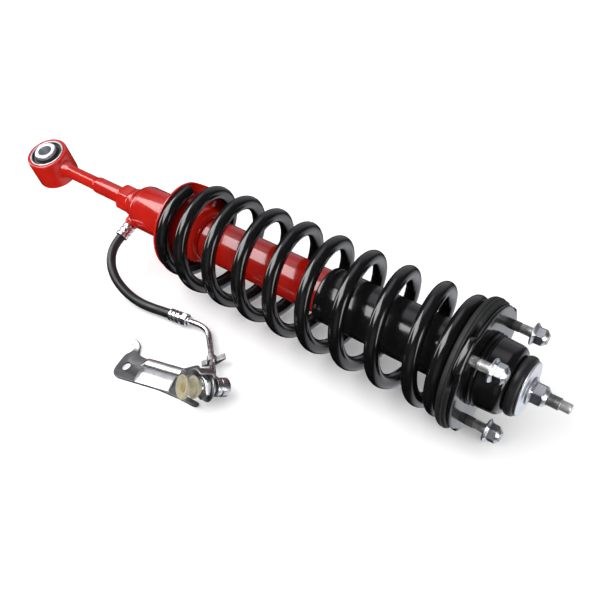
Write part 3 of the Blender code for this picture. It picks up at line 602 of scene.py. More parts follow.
AMBER = amber_plastic()


# Camera, floor and light


def add_camera():
    a = math.radians(CAMERA_AZIMUTH)
    e = math.radians(CAMERA_ELEVATION)
    back = Vector((math.sin(a) * math.cos(e), -math.cos(a) * math.cos(e), math.sin(e)))
    data = bpy.data.cameras.new("camera")
    data.lens = CAMERA_LENS
    data.sensor_width = 36.0
    data.shift_x, data.shift_y = CAMERA_SHIFT
    data.clip_start = 0.02
    data.clip_end = 50.0
    camera = bpy.data.objects.new("camera", data)
    bpy.context.scene.collection.objects.link(camera)
    camera.location = EYE_CENTRE * MM + CAMERA_OFFSET
    camera.rotation_euler = (-back).to_track_quat("-Z", "Y").to_euler()
    bpy.context.scene.camera = camera


def add_floor():
    half = 6000.0
    bm = bmesh.new()
    bmesh.ops.create_grid(bm, x_segments=4, y_segments=4, size=half)
    floor = finished("floor", bm, pale_floor(), Matrix.Identity(4))
    floor.visible_glossy = False


def add_softbox(name, towards, distance, size, power):
    """A soft box in that direction from the strut's middle, facing it; its sizes are in metres."""
    middle = Vector((0, 0, EYE_CENTRE.z * MM))
    out = Vector(towards).normalized()
    data = bpy.data.lights.new(name, "AREA")
    data.shape = "RECTANGLE"
    data.size, data.size_y = size
    data.energy = power
    light = bpy.data.objects.new(name, data)
    bpy.context.scene.collection.objects.link(light)
    light.location = middle + out * distance
    light.rotation_euler = out.to_track_quat("Z", "Y").to_euler()
    return light


def glow(tree, way, towards, start, full, strength):
    """Brightness that grows round one direction of the room, for reflections."""
    near = add_node(tree, "VectorMath", way)
    near.operation = "DOT_PRODUCT"
    near.inputs[1].default_value = Vector(towards).normalized()
    limits = {"From Min": start, "From Max": full, "To Min": 0.0, "To Max": strength}
    share = add_node(tree, "MapRange", near.outputs["Value"], limits)
    share.interpolation_type = "SMOOTHSTEP"
    return share.outputs["Result"]


def add_room():
    """An even white room for soft shade. Glossy surfaces see it dark, with a few pale screens."""
    world = bpy.data.worlds.new("room")
    bpy.context.scene.world = world
    world.use_nodes = True
    tree = world.node_tree
    tree.nodes.clear()
    way = tree.nodes.new("ShaderNodeTexCoord").outputs["Generated"]
    total = glow(tree, way, (0, 0, 1), -1.0, 1.0, 0.06)
    for screen in ROOM_SCREENS:
        added = add_node(tree, "Math", total)
        added.operation = "ADD"
        tree.links.new(glow(tree, way, *screen), added.inputs[1])
        total = added.outputs["Value"]
    white = {"Color": (1.0, 1.0, 1.0, 1.0), "Strength": ROOM_STRENGTH}
    even = add_node(tree, "Background", values=white)
    seen = add_node(tree, "Background", values={"Color": (0.93, 0.94, 1.0, 1.0)})
    tree.links.new(total, seen.inputs["Strength"])
    rays = add_node(tree, "LightPath")
    mix = add_node(tree, "MixShader", rays.outputs["Is Glossy Ray"])
    tree.links.new(even.outputs["Background"], mix.inputs[1])
    tree.links.new(seen.outputs["Background"], mix.inputs[2])
    add_node(tree, "OutputWorld", mix.outputs["Shader"])


def add_stage():
    add_floor()
    add_room()
    key = (-0.46, -0.44, 0.77)
    shade = add_softbox("key_softbox", key, 1.35, (1.5, 1.0), 12)
    shade.visible_glossy = False
    shine = add_softbox("key_reflection", key, 1.27, (1.4, 0.8), 25)
    shine.visible_diffuse = False
    add_softbox("right_softbox", (0.97, -0.18, 0.16), 1.3, (0.4, 0.8), 5)
    add_softbox("left_softbox", (-0.95, -0.22, 0.22), 1.3, (0.3, 0.8), 4)
    scene = bpy.context.scene
    scene.view_settings.view_transform = "Standard"


# Hose, pipe and fittings


def on_floor(place):
    """World place from (station, distance beside the axis, height above the floor)."""
    return Vector((EYE_CENTRE.x + place[0], EYE_CENTRE.y + place[1], place[2]))


def route(points):
    return [on_floor(point) for point in points]


def smooth_route(points, spacing):
    """Points at even steps along a smooth curve through the given ones."""
    padded = [2 * points[0] - points[1]] + points + [2 * points[-1] - points[-2]]
    fine = []
    for p0, p1, p2, p3 in zip(padded, padded[1:], padded[2:], padded[3:]):
        for step in range(20):
            t = step / 20
            linear = (p2 - p0) * t
            square = (2 * p0 - 5 * p1 + 4 * p2 - p3) * t * t
            cube = (3 * p1 - p0 - 3 * p2 + p3) * t**3
            fine.append((2 * p1 + linear + square + cube) / 2)
    fine.append(points[-1])
    length = sum((b - a).length for a, b in zip(fine, fine[1:]))
    count = max(2, round(length / spacing))
    chosen = [fine[0]]
    travelled = 0.0
    for a, b in zip(fine, fine[1:]):
        travelled += (b - a).length
        if travelled >= length * len(chosen) / count and len(chosen) < count:
            chosen.append(b)
    return chosen + [fine[-1]]


def line_curve(name, points, radius, finish):
    """A curve with a round bevel, straight at both ends, and its centre line's length."""
    chosen = [points[0]] + smooth_route(points[1:-1], 3) + [points[-1]]
    curve = bpy.data.curves.new(name, "CURVE")
    curve.dimensions = "3D"
    curve.bevel_depth = radius * MM
    curve.bevel_resolution = 12
    curve.use_fill_caps = True
    line = curve.splines.new("POLY")
    line.points.add(len(chosen) - 1)
    for point, place in zip(line.points, chosen):
        point.co = (*(place * MM), 1.0)
    line.use_smooth = True
    curve.materials.append(finish)
    obj = bpy.data.objects.new(name, curve)
    bpy.context.scene.collection.objects.link(obj)
    return obj, sum((b - a).length for a, b in zip(chosen, chosen[1:]))


def port_place(distance):
    """A place on the port's line, at that distance from the strut's axis."""
    return STRUT @ (Vector((PORT_X, 0, 0)) + direction(PORT_AZIMUTH) * distance)


def crimped_ferrule(name, length, radius, mouth, bands, place):
    """A swaged ferrule: rolled grooves round it, flats pressed between them, rounded ends."""
    jaws = 8

    def section(azimuth):
        pinch = 0.28 * (0.5 - 0.5 * math.cos(math.radians(azimuth) * jaws))
        points = [(0.0, 0.0), (0.0, mouth), (0.7, radius)]
        pitch = length / (bands + 1)
        for band in range(1, bands + 1):
            middle = pitch * band
            groove = radius - 0.9
            points += [(middle - 1.5, radius), (middle - 0.7, groove - pinch)]
            points += [(middle + 0.7, groove - pinch), (middle + 1.5, radius)]
        points += [(length - 0.7, radius), (length, mouth), (length, 0.0)]
        return eased(points, 0.5, closed=False)

    return swept(name, section, SMALL_ROUND, CHROME, place)


def add_hose():
    leads = [port_place(FERRULE_END + GAP), port_place(FERRULE_END + LEAD)]
    end = on_floor(FITTING_START)
    points = leads + route(HOSE_ROUTE) + [end - FITTING_ALONG * LEAD, end]
    hose, length = line_curve("hose", points, HOSE_RADIUS, HOSE)
    piece(hose, "hose_rubber", "hydraulic_hose")
    return hose, points[0], length


def add_hose_fittings():
    """Ferrules at both ends of the hose, the port boss and the swivel collar."""
    out = direction(PORT_AZIMUTH)
    boss_radius = 7.4
    start = 20
    boss = [(start, 0.0), (start, boss_radius + 1.4), (start + 5.8, boss_radius + 1.2)]
    boss += [(start + 7.6, boss_radius), (FERRULE_START - GAP, boss_radius - 0.6)]
    boss.append((FERRULE_START - GAP, 0.0))
    boss_place = aimed(port_place(0.0), out)
    piece(turned("port_boss", boss, RED, boss_place, SMALL_ROUND), "red_paint", "hose_port_boss")
    length = FERRULE_END - FERRULE_START
    first = crimped_ferrule(
        "port_ferrule", length, 7.4, 6.3, 2, aimed(port_place(FERRULE_START), out)
    )
    piece(first, "chrome", "body_hose_ferrule")
    start = on_floor(FITTING_START) + FITTING_ALONG * GAP
    place = aimed(start, FITTING_ALONG)
    second = crimped_ferrule("pipe_ferrule", FERRULE_LENGTH, 6.9, 6.1, 2, place)
    piece(second, "chrome", "pipe_hose_ferrule")
    collar = add_swivel_collar(aimed(start + FITTING_ALONG * (FERRULE_LENGTH + GAP), FITTING_ALONG))
    return [first, second, collar]


def add_swivel_collar(place):
    def section(azimuth):
        side = hex_radius(azimuth, 13.2, 15.0)
        neck = 5.4
        chamfer = (side - 6.6) * 0.6
        end = COLLAR_LENGTH
        points = [
            (0.0, 0.0), (0.0, neck), (1.4, neck), (1.9 + chamfer, side), (8.1 - chamfer, side),
            (8.6, neck), (9.4, neck - 0.5), (10.2, neck), (end - 0.4, neck - 0.6), (end, 3.6),
        ]
        return eased(points + [(end, 0.0)], 0.3, closed=False)

    collar = swept("swivel_collar", section, HEX_SIDES * 16, CHROME, place, sharp=24.0)
    return piece(collar, "chrome", "pipe_collar")


def add_pipe():
    start = on_floor(FITTING_START) + FITTING_ALONG * GAP
    pipe_start = start + FITTING_ALONG * (FERRULE_LENGTH + COLLAR_LENGTH)
    pipe_end = on_floor(END_CENTRE) + END_SIDE * (END_RADIUS - 0.5)
    leads = [pipe_start, pipe_start + FITTING_ALONG * LEAD]
    points = leads + route(PIPE_ROUTE) + [pipe_end + END_SIDE * LEAD, pipe_end]
    pipe, _ = line_curve("steel_pipe", points, PIPE_RADIUS, CHROME)
    piece(pipe, "chrome", "hard_pipe")
    sleeve_start = pipe_end + END_SIDE * 0.2
    section = [(0.0, 0.0), (0.0, 4.6), (1.2, 4.4), (2.6, 3.2), (2.6, 0.0)]
    braze = turned("pipe_braze", section, CHROME, aimed(sleeve_start, END_SIDE), SMALL_ROUND)
    piece(braze, "chrome")
    return [pipe, braze]


def add_end_barrel(place):
    slot = 8.1
    edge = 1.2
    section = [
        (-END_HALF, 0.0), (-END_HALF, END_RADIUS - edge - 1.5), (-END_HALF + edge, END_RADIUS - 1.4),
        (-END_HALF + 2.2, END_RADIUS), (-2.0, END_RADIUS), (-1.4, END_RADIUS - 0.5),
        (0.4, END_RADIUS - 0.5), (1.0, END_RADIUS), (4.4, END_RADIUS), (4.9, slot), (7.1, slot),
        (7.6, END_RADIUS), (END_HALF, END_RADIUS), (END_HALF, 0.0),
    ]
    barrel = turned("end_barrel", section, CHROME, place, ROUND, 0.35)
    piece(barrel, "chrome", "end_fitting_barrel")
    seal = ring("barrel_seal", 4.9, 7.1, 7.9, 8.9, RUBBER, place, ROUND, 0.6)
    piece(seal, "black_rubber")
    return [barrel, seal]


def add_union(place):
    """The hexagon union: chamfered faces, a washer face and the threaded nose under the cap."""
    plate = 2.0
    tip = 10.7

    def section(azimuth):
        side = hex_radius(azimuth, 22, 5.0)
        chamfer = max(side - 10.8, 0.0) * 0.55
        points = [
            (plate, 0.0), (plate, 10.2), (plate + 0.5, 10.6), (plate + 0.8 + chamfer, side),
            (8.4 - chamfer, side), (8.8, 10.5), (8.9, 7.6), (tip, 7.4), (tip, 4.0), (4.0, 4.0),
        ]
        return eased(points + [(4.0, 0.0)], 0.25, closed=False)

    union = swept("union_nut", section, HEX_SIDES * 24, ZINC, place, sharp=24.0)
    return piece(union, "bright_zinc", "hex_union")


def add_cap(place):
    """The transit cap: a tapered plug body with grip ribs and a dished flange."""
    ribs = 10
    body = 9.0
    collar = 11.4
    flange = 12.2

    def section(azimuth):
        rib = 0.45 * smooth_step(math.cos(math.radians(azimuth) * ribs) * 1.4)
        points = [
            (0.0, 0.0), (0.0, body - 0.5), (1.0, body + 0.2), (3.4, body - 0.2), (4.0, collar),
            (5.6, collar), (6.2, body - 0.6 + rib), (9.0, body - 0.9 + rib), (11.4, body - 1.6),
            (14.6, body - 1.2), (15.2, flange - 0.6), (15.9, flange), (17.8, flange),
            (18.4, flange - 0.8), (17.6, flange - 2.6), (16.9, 7.4), (16.2, 5.6),
        ]
        return eased(points + [(15.9, 0.0)], 0.6, closed=False)

    cap = swept("cap_shell", section, HEX_SIDES * 30, CREAM, place)
    piece(cap, "cream_plastic", "transit_cap", body="cap")
    middle = [(15.7, 0.0), (15.7, 5.4), (16.4, 5.0), (16.7, 3.2), (16.3, 2.4), (16.3, 0.0)]
    dimple = turned("cap_middle", middle, AMBER, place, SMALL_ROUND, 0.4)
    piece(dimple, "cream_plastic", body="cap")
    return [cap, dimple]


def add_saddle(place):
    """The bracket's standing end: a ring round the union and a strap over it."""
    hole = 9.0
    thick = 2.2
    rim = 14.6

    def section(azimuth):
        points = [(-0.4, hole), (-0.4, rim - 0.5), (0.2, rim)]
        points += [(thick - 1.0, rim), (thick - 0.4, rim - 0.5), (thick - 0.4, hole)]
        return eased(points, 0.4)

    saddle = swept("saddle_ring", section, ROUND, SHEET_ZINC, place)
    piece(saddle, "bright_zinc")
    turned_up = place @ Matrix(((0, 0, 1, 0), (1, 0, 0, 0), (0, 1, 0, 0), (0, 0, 0, 1)))
    roof = plate_from("saddle_roof", roof_outline(), -1.0, 16.0, SHEET_ZINC, turned_up, 0.5)
    piece(roof, "bright_zinc")
    return [saddle, roof]


def roof_outline():
    """The strap from its edge: an arc over the union, and a straight leg down from it."""
    outside = 18.6
    thick = 1.9
    foot = -12.0
    outer = arc(outside, 84, 158, 16)
    inner = arc(outside - thick, 84, 158, 16)
    outer.append((outer[-1][0], foot))
    inner.append((inner[-1][0], foot))
    return outer + inner[::-1]


def add_end_fitting():
    centre = on_floor(END_CENTRE)
    start = centre + END_ALONG * (END_HALF + GAP)
    union_length = 11.0
    pieces = add_end_barrel(aimed(centre, END_ALONG))
    pieces.append(add_union(aimed(start, END_ALONG)))
    pieces += add_saddle(aimed(start, END_ALONG))
    pieces += add_cap(aimed(start + END_ALONG * union_length, END_ALONG))
    return pieces


def bracket_place():
    return Matrix.Translation(on_floor(BRACKET_CENTRE)) @ Matrix.Rotation(BRACKET_TURN, 4, "Z")


def add_bracket():
    """The pressed bracket: a flat ear with an oval hole, a pressed body and a bent finger."""
    low = 0.4
    high = 2.5
    outline = [
        (-10, -6), (-8, -13), (-2, -17), (46, -17), (70, -20), (93, -25), (95, -19), (73, -14),
        (63, -8), (63, 11), (74, 24), (69, 29), (56, 17), (13, 17), (4, 19), (1, 28), (-5, 28),
        (-6, 20), (-10, 15),
    ]
    place = bracket_place()
    # The flat plate takes the darker copy of the sheet zinc, which is painted shade.
    plate = plate_from("bracket_plate", eased(outline, 5.0, 8), low, high, SHADED_SHEET_ZINC, place)
    hole = [(x, y * 1.5) for x, y in arc(4.0, 0, 360, 48)[:-1]]
    cutter = plate_from("bracket_slot", hole, -2, 5, SHADED_SHEET_ZINC, place, 0.0)
    cutter.modifiers.clear()
    cut = plate.modifiers.new("slot", "BOOLEAN")
    cut.operation = "DIFFERENCE"
    cut.object = cutter
    plate.modifiers.move(1, 0)
    bpy.context.view_layer.update()
    graph = bpy.context.evaluated_depsgraph_get()
    settled = bpy.data.meshes.new_from_object(plate.evaluated_get(graph))
    plate.modifiers.clear()
    plate.data = settled
    bpy.data.objects.remove(cutter)
    piece(plate, "bright_zinc", "pipe_bracket")
    return [plate] + add_bracket_form(place, high)


def pressed_form(name, place, x0, x1, profile, fade):
    """A form pressed up along the plate: its profile of (across, height), faded at both ends."""
    steps = 48
    bm = bmesh.new()
    rows = []
    for step in range(steps + 1):
        t = step / steps
        x = x0 + (x1 - x0) * t
        swell = smooth_step(t / fade) * smooth_step((1 - t) / fade * 2.5)
        base = profile[0][1]
        rows.append([bm.verts.new((x, y, base + (z - base) * swell)) for y, z in profile])
    count = len(profile)
    for here, there in zip(rows, rows[1:]):
        for i in range(count):
            j = (i + 1) % count
            bm.faces.new((here[i], here[j], there[j], there[i]))
    bm.faces.new(rows[0])
    bm.faces.new(rows[-1])
    form = finished(name, bm, SHEET_ZINC, place, sharp=34.0)
    return piece(form, "bright_zinc")


def add_bracket_form(place, face):
    """What is pressed up from the plate: a rolled back edge, a sloping front, and the finger."""
    base = face - 0.5
    roll = [(17.0, base)]
    for step in range(13):
        angle = math.pi * step / 12
        height = 4.6 * math.sin(angle) ** 0.75
        roll.append((11.2 + 5.6 * math.cos(angle), face + height))
    roll.append((5.4, base))
    slope = [(-16.6, base), (-16.4, face + 0.3), (-4.0, face + 2.6)]
    slope += [(1.6, face + 3.0), (2.8, face + 2.4), (3.2, base)]
    made = [pressed_form("bracket_roll", place, 12, 62, eased(roll, 0.5), 0.16)]
    made.append(pressed_form("bracket_slope", place, 14, 61, eased(slope, 0.7), 0.2))
    path = [(-2.0, 23.0, 1.6), (-2.2, 26.0, 1.7), (-3.0, 29.0, 2.4), (-5.0, 31.4, 3.4)]
    path += [(-7.8, 32.8, 4.2), (-11.0, 33.4, 4.4)]
    centres = [place @ Vector(point) for point in path]

    def finger_radius(share, angle):
        squared = (abs(math.cos(angle)) ** 5 + abs(math.sin(angle) * 2.6) ** 5) ** -0.2
        tip = min(1.0, (1.0 - share) * 12 + 0.7)
        return 3.3 * squared * tip

    along_plate = place.to_3x3() @ Vector((1, 0, 0))
    line = smooth_route(centres, 1.0)
    finger = tube_along("bracket_finger", line, 28, finger_radius, SHEET_ZINC, along_plate)
    made.append(piece(finger, "bright_zinc"))
    return made


def add_clip():
    """The bracket's strap over the pipe: a hump round it, one foot, and one straight tab."""
    outside = PIPE_RADIUS + 1.9
    strap = 1.7
    low = -(PIPE_RADIUS + 2.2)
    tab = 14.5
    outline = [
        (-11, low), (3, low), (4.4, low + 0.8), (tab, 2.2), (tab - 0.4, 2.2 + strap), (outside, 0.6),
    ]
    outline += arc(outside, 10, 195, 20)
    outline += [(-outside - 0.8, low + strap + 1.0), (-11, low + strap)]
    side = Vector((0, 0, 1)).cross(CLIP_ALONG)
    stand = Matrix((side, Vector((0, 0, 1)), side.cross(Vector((0, 0, 1))))).transposed()
    place = Matrix.Translation(on_floor(CLIP_CENTRE)) @ stand.to_4x4()
    half = 3.6
    clip = plate_from("pipe_strap", eased(outline, 0.5), -half, half, SHEET_ZINC, place)
    return piece(clip, "bright_zinc", "pipe_clip")


add_camera()
add_stage()
hose_piece, hose_exit, hose_length = add_hose()
on_hose = add_hose_fittings() + add_pipe() + add_end_fitting() + add_bracket() + [add_clip()]


# Lower eye


def eye_place():
    """The eye's frame: its X axis is the bush's axis."""
    return Matrix.Translation(EYE_CENTRE) @ EYE_AXIS.to_track_quat("X", "Y").to_matrix().to_4x4()


def add_eye():
    place = eye_place()
    edge = 1.6
    barrel = [
        (-EYE_LOWER, EYE_BORE), (-EYE_LOWER, EYE_RADIUS - edge), (-EYE_LOWER + edge, EYE_RADIUS),
        (EYE_UPPER - edge, EYE_RADIUS), (EYE_UPPER, EYE_RADIUS - edge), (EYE_UPPER, EYE_BORE),
    ]
    piece(turned("eye_ring", barrel, RED, place, FINE_ROUND, 0.9), "red_paint", "eye_barrel")
    add_bush(place)


def add_bush(place):
    outer = EYE_BORE - GAP / 2
    wall = 1.5
    proud = 0.2
    start = -EYE_LOWER - proud
    end = EYE_UPPER + proud
    edge = 0.3
    shell = ring("bush_shell", start, end, outer - wall, outer, ZINC, place, FINE_ROUND, edge)
    piece(shell, "bright_zinc", "bush_outer_sleeve")
    low = BUSH_CORE + 0.1
    high = outer - wall - 0.1
    lip = [(low, 1.6), (low + 1.0, 1.2), (low + 1.7, -2.4), (high - 1.6, -2.6)]
    lip += [(high - 0.9, -0.5), (high, -0.2)]
    face = EYE_UPPER - 0.3
    back = EYE_LOWER - 0.3
    rubber = [(-back - depth, radius) for radius, depth in lip]
    rubber += [(face + depth, radius) for radius, depth in reversed(lip)]
    body = turned("bush_body", rubber, RUBBER, place, FINE_ROUND, 0.5)
    piece(body, "black_rubber", "bush_rubber")
    chamfer = 1.1
    mouth = BUSH_BORE + 0.6
    core = [
        (-BUSH_LOWER, mouth), (-BUSH_LOWER, BUSH_CORE - chamfer), (-BUSH_LOWER + 1.0, BUSH_CORE),
        (BUSH_UPPER - 1.0, BUSH_CORE), (BUSH_UPPER, BUSH_CORE - chamfer), (BUSH_UPPER, mouth),
        (BUSH_UPPER - 0.7, BUSH_BORE), (-BUSH_LOWER + 0.7, BUSH_BORE),
    ]
    sleeve = turned("bush_core", core, PALE_ZINC, place, FINE_ROUND, 0.3)
    piece(sleeve, "bright_zinc", "bush_inner_sleeve", body="bush_sleeve")


def add_eye_weld():
    """The rippled weld bead where the shank meets the eye."""
    beside = Vector((1, 0, 0)).cross(EYE_AXIS).normalized()
    around = 10.4
    steps = 220
    ripples = 34
    centres = []
    for step in range(steps + 1):
        angle = 2 * math.pi * step / steps
        across = around * math.sin(angle)
        x = math.sqrt((EYE_RADIUS - 0.2) ** 2 - across**2)
        up = EYE_AXIS * around * math.cos(angle)
        centres.append(EYE_CENTRE + Vector((x, 0, 0)) + up + beside * across)

    def bead(share, angle):
        return 1.9 + 0.22 * math.sin(share * ripples * 2 * math.pi)

    weld = tube_along("eye_weld", centres, 12, bead, RED, ends=False)
    piece(weld, "red_paint")


# Shank and damper body


def add_shank():
    section = [
        (22, 0.0), (22, 10.8), (27, 10.5), (30, 9.3), (35, THIN_SHANK_RADIUS + 0.1),
        (38, THIN_SHANK_RADIUS), (84, THIN_SHANK_RADIUS), (86.2, SHANK_RADIUS - 0.3),
        (88, SHANK_RADIUS), (COLLAR_X, SHANK_RADIUS), (COLLAR_X, 0.0),
    ]
    piece(turned("shank", section, RED, STRUT, ROUND, 1.1), "red_paint", "lower_shank")


def add_collar():
    start = 13.6

    def section(azimuth):
        side = hex_radius(azimuth, 30, 12.0, 0.97)
        chamfer = max(side - start, 0.0)
        points = [(COLLAR_X, 0.0), (COLLAR_X, start - 0.6), (COLLAR_X + 0.8, start)]
        points += [(COLLAR_X + chamfer * 1.1, side), (CAP_X - 0.9, side), (CAP_X, side - 0.8)]
        return eased(points + [(CAP_X, 0.0)], 0.5, closed=False)

    piece(swept("collar", section, HEX_SIDES * 32, RED, STRUT, sharp=30.0), "red_paint", "hex_collar")


def add_damper_body():
    cap = [
        (CAP_X - 0.5, 0.0), (CAP_X - 0.5, 16.0), (150.5, 16.7), (155.6, 16.9), (157.0, 15.9),
        (158.6, 15.9), (159.8, 17.6), (161.6, 21.0), (164.4, 24.0), (167.6, 25.8),
        (LOWER_BODY_X - 0.4, LOWER_BODY_RADIUS), (LOWER_BODY_X, LOWER_BODY_RADIUS - 0.25),
        (LOWER_BODY_X, 0.0),
    ]
    piece(turned("spun_end", cap, RED, STRUT, FINE_ROUND, 0.9), "red_paint", "lower_end_cap")
    inner = 24.4
    end = 240
    body = ring("body_shell", LOWER_BODY_X, end, inner, LOWER_BODY_RADIUS, RED, STRUT, FINE_ROUND)
    piece(body, "red_paint", "lower_body_tube")
    lip = 13.0
    tube = [(186.3, 21.8), (186.3, TUBE_RADIUS), (TUBE_END_X - 4, TUBE_RADIUS)]
    tube += [(TUBE_END_X - 1.6, TUBE_RADIUS - 0.9), (TUBE_END_X, TUBE_RADIUS - 3.4)]
    tube += [(TUBE_END_X, lip), (TUBE_END_X - 2, lip), (TUBE_END_X - 2, 21.8)]
    piece(turned("pressure_tube", tube, RED, STRUT, FINE_ROUND, 0.8), "red_paint", "main_tube")


# Spring and its seats


def coil_x(turns):
    """Station of the wire's centre: the full pitch, blended down at both end coils."""
    x = TURN_ZERO_X + COIL_PITCH * turns
    low_ends = FIRST_TURN + LOW_BLEND_TURNS
    missing = COIL_PITCH - LOW_END_PITCH
    if turns < low_ends:
        u = (low_ends - turns) / LOW_BLEND_TURNS
        x += missing * LOW_BLEND_TURNS * (u**3 - u**4 / 2)
    if turns > HIGH_BLEND_START:
        span = LAST_TURN - HIGH_BLEND_START
        u = (turns - HIGH_BLEND_START) / span
        x -= (COIL_PITCH - HIGH_END_PITCH) * span * (u**3 - u**4 / 2)
    return x


def coil_radius(turns):
    grown = smooth_step((turns - FIRST_TURN - 0.3) / 1.1)
    return LOW_END_COIL_RADIUS + (COIL_RADIUS - LOW_END_COIL_RADIUS) * grown


def coil_point(turns):
    side = direction(COIL_ZERO + 360.0 * turns)
    return Vector((coil_x(turns), 0, 0)) + side * coil_radius(turns)


def squashed_share():
    """The share of the spring's length that the damper's full travel takes away."""
    travel = JOINTS["damper_slide"]["range_m"][1] / MM
    return travel / (coil_x(LAST_TURN) + WIRE_RADIUS - SEAT_X)


def add_spring():
    """The wire, swept along its helix, with a small chamfer where it was cut off."""
    per_turn = 72
    sides = 24
    chamfer = 0.9
    steps = round((LAST_TURN - FIRST_TURN) * per_turn)
    stations = [FIRST_TURN + (LAST_TURN - FIRST_TURN) * step / steps for step in range(steps + 1)]
    trim = chamfer / (2 * math.pi * LOW_END_COIL_RADIUS)
    stations = [FIRST_TURN, FIRST_TURN + trim] + stations[1:-1] + [LAST_TURN - trim, LAST_TURN]
    bm = bmesh.new()
    rings = []
    for turns in stations:
        here = coil_point(turns)
        along = (coil_point(turns + 0.005) - coil_point(turns - 0.005)).normalized()
        out = direction(COIL_ZERO + 360.0 * turns)
        up = along.cross(out).normalized()
        at_end = turns in (FIRST_TURN, LAST_TURN)
        radius = WIRE_RADIUS - chamfer if at_end else WIRE_RADIUS
        loop = []
        for side in range(sides):
            angle = 2 * math.pi * side / sides
            loop.append(bm.verts.new(here + (out * math.cos(angle) + up * math.sin(angle)) * radius))
        rings.append(loop)
    for here, there in zip(rings, rings[1:]):
        for i in range(sides):
            j = (i + 1) % sides
            bm.faces.new((here[i], here[j], there[j], there[i]))
    bm.faces.new(rings[0])
    bm.faces.new(rings[-1])
    spring = finished("spring_wire", bm, GLOSS, STRUT)
    piece(spring, "black_gloss", "coil_spring")
    1 - squashed_share()
    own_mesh(spring)


def turns_at(azimuth, first):
    """The turn count at that azimuth, counted up from the turn given."""
    base = (azimuth - COIL_ZERO) / 360.0
    return base + math.ceil(first - base)


def seat_floor(azimuth):
    """Station of the lower seat's floor, a ramp under the end coil that drops back at its tip."""
    drop = 0.12
    turns = turns_at(azimuth, FIRST_TURN)
    into = turns - FIRST_TURN
    low = coil_x(FIRST_TURN)
    high = coil_x(FIRST_TURN + 1 - drop)
    if into > 1 - drop:
        x = high + (low - high) * smooth_step((into - 1 + drop) / drop * 1.5)
    else:
        x = coil_x(turns)
    return x - WIRE_RADIUS - GAP


def add_lower_seat():
    hole = TUBE_RADIUS + 0.2
    body_hole = LOWER_BODY_RADIUS + 0.2

    def section(azimuth):
        floor = seat_floor(azimuth)
        points = [
            (222.6, body_hole), (223.4, body_hole + 1.2), (floor - 9, 33), (floor - 4.2, 40),
            (floor - 3, SEAT_RADIUS - 1.6), (floor - 2.4, SEAT_RADIUS), (floor + 0.2, SEAT_RADIUS),
            (floor + 0.3, SEAT_RADIUS - 1.4), (floor - 0.6, SEAT_RADIUS - 3), (floor - 0.6, 41),
            (floor - 1.5, 37.5), (250, 33.5), (262, 32), (269, 29.5), (272, 26), (272, hole),
            (240.5, hole), (240.5, body_hole),
        ]
        return eased(points, 1.0, 4)

    piece(swept("spring_pan", section, FINE_ROUND, RED), "red_paint", "lower_spring_seat")


def near_stud(azimuth, spread):
    """1 at a stud's azimuth, falling to 0 at that spread in degrees."""
    closest = min(abs((azimuth - stud + 180) % 360 - 180) for stud in STUD_AZIMUTHS)
    return 1 - smooth_step((closest - spread * 0.7) / (spread * 0.3))


def insulator_face(azimuth):
    """Station of the insulator's face, a ramp that follows the top coil to its tip.

    It is a little less steep than the coil, so that it still clears the squashed spring.
    """
    turns = turns_at(azimuth, LAST_TURN - 1.0)
    last = coil_x(LAST_TURN) + WIRE_RADIUS + GAP
    start = LAST_TURN - 0.75
    depth = coil_x(LAST_TURN) - coil_x(max(turns, start))
    if turns < start:
        depth *= smooth_step((turns - LAST_TURN + 1.0) / 0.25)
    return last - depth * (1 - squashed_share())


def add_insulator():
    """The moulded spring isolator: two bands with a parting step, notched at each stud."""
    bore = 38.0

    def section(azimuth):
        face = insulator_face(azimuth)
        notch = 9.0 * near_stud(azimuth, 31.0)
        skirt = INSULATOR_RADIUS - 1.2 - notch
        step_x = max(face + 6, 591.6)
        points = [
            (face, bore), (face, INSULATOR_RADIUS - 5), (face + 1.5, INSULATOR_RADIUS - 1.7),
            (face + 4, INSULATOR_RADIUS - 0.3), (step_x, INSULATOR_RADIUS),
            (step_x + 0.5, INSULATOR_RADIUS - 0.8), (step_x + 1.1, INSULATOR_RADIUS),
            (596.2 + (step_x - 591.6) * 0.3, INSULATOR_RADIUS), (598.2, skirt),
            (INSULATOR_X - 1.2, skirt), (INSULATOR_X, skirt - 1.2), (INSULATOR_X, bore),
        ]
        return eased(points, 0.6, 3)

    isolator = swept("isolator", section, FINE_ROUND, INSULATOR)
    piece(isolator, "matte_rubber", "upper_spring_insulator", body=ROD_BODY)


# Rod, cover and upper mount


def add_rod():
    shoulder = 603.7
    inner_end = 391.5
    piston_step = 418.3
    plain = [(inner_end, 0.0), (inner_end, 5.0), (piston_step, 5.0), (piston_step, ROD_RADIUS)]
    plain += [(shoulder, ROD_RADIUS), (shoulder, ROD_THREAD_RADIUS - 0.3)]
    start = NUT_X + 10
    end = THREAD_END_X
    pitch = 1.25

    def section(azimuth):
        points = plain + [(start - 0.2, ROD_THREAD_RADIUS - 0.3)]
        points += thread_line(start, end - 0.4, ROD_THREAD_RADIUS, pitch, azimuth, 0.62)
        points += [(end, ROD_THREAD_RADIUS - 0.9), (end + 0.5, ROD_TIP_RADIUS)]
        points += [(TIP_X - 0.8, ROD_TIP_RADIUS), (TIP_X, ROD_TIP_RADIUS - 0.7), (TIP_X, 0.0)]
        return points

    rod = swept("rod", section, 96, STEEL)
    rod.data.materials.append(THREAD)
    rod.data.materials.append(STUD_STEEL)
    for face in rod.data.polygons:
        x = face.center.x / MM
        if x > start:
            face.material_index = 1 if x < end else 2
    piece(rod, "ground_steel", "piston_rod", body=ROD_BODY)


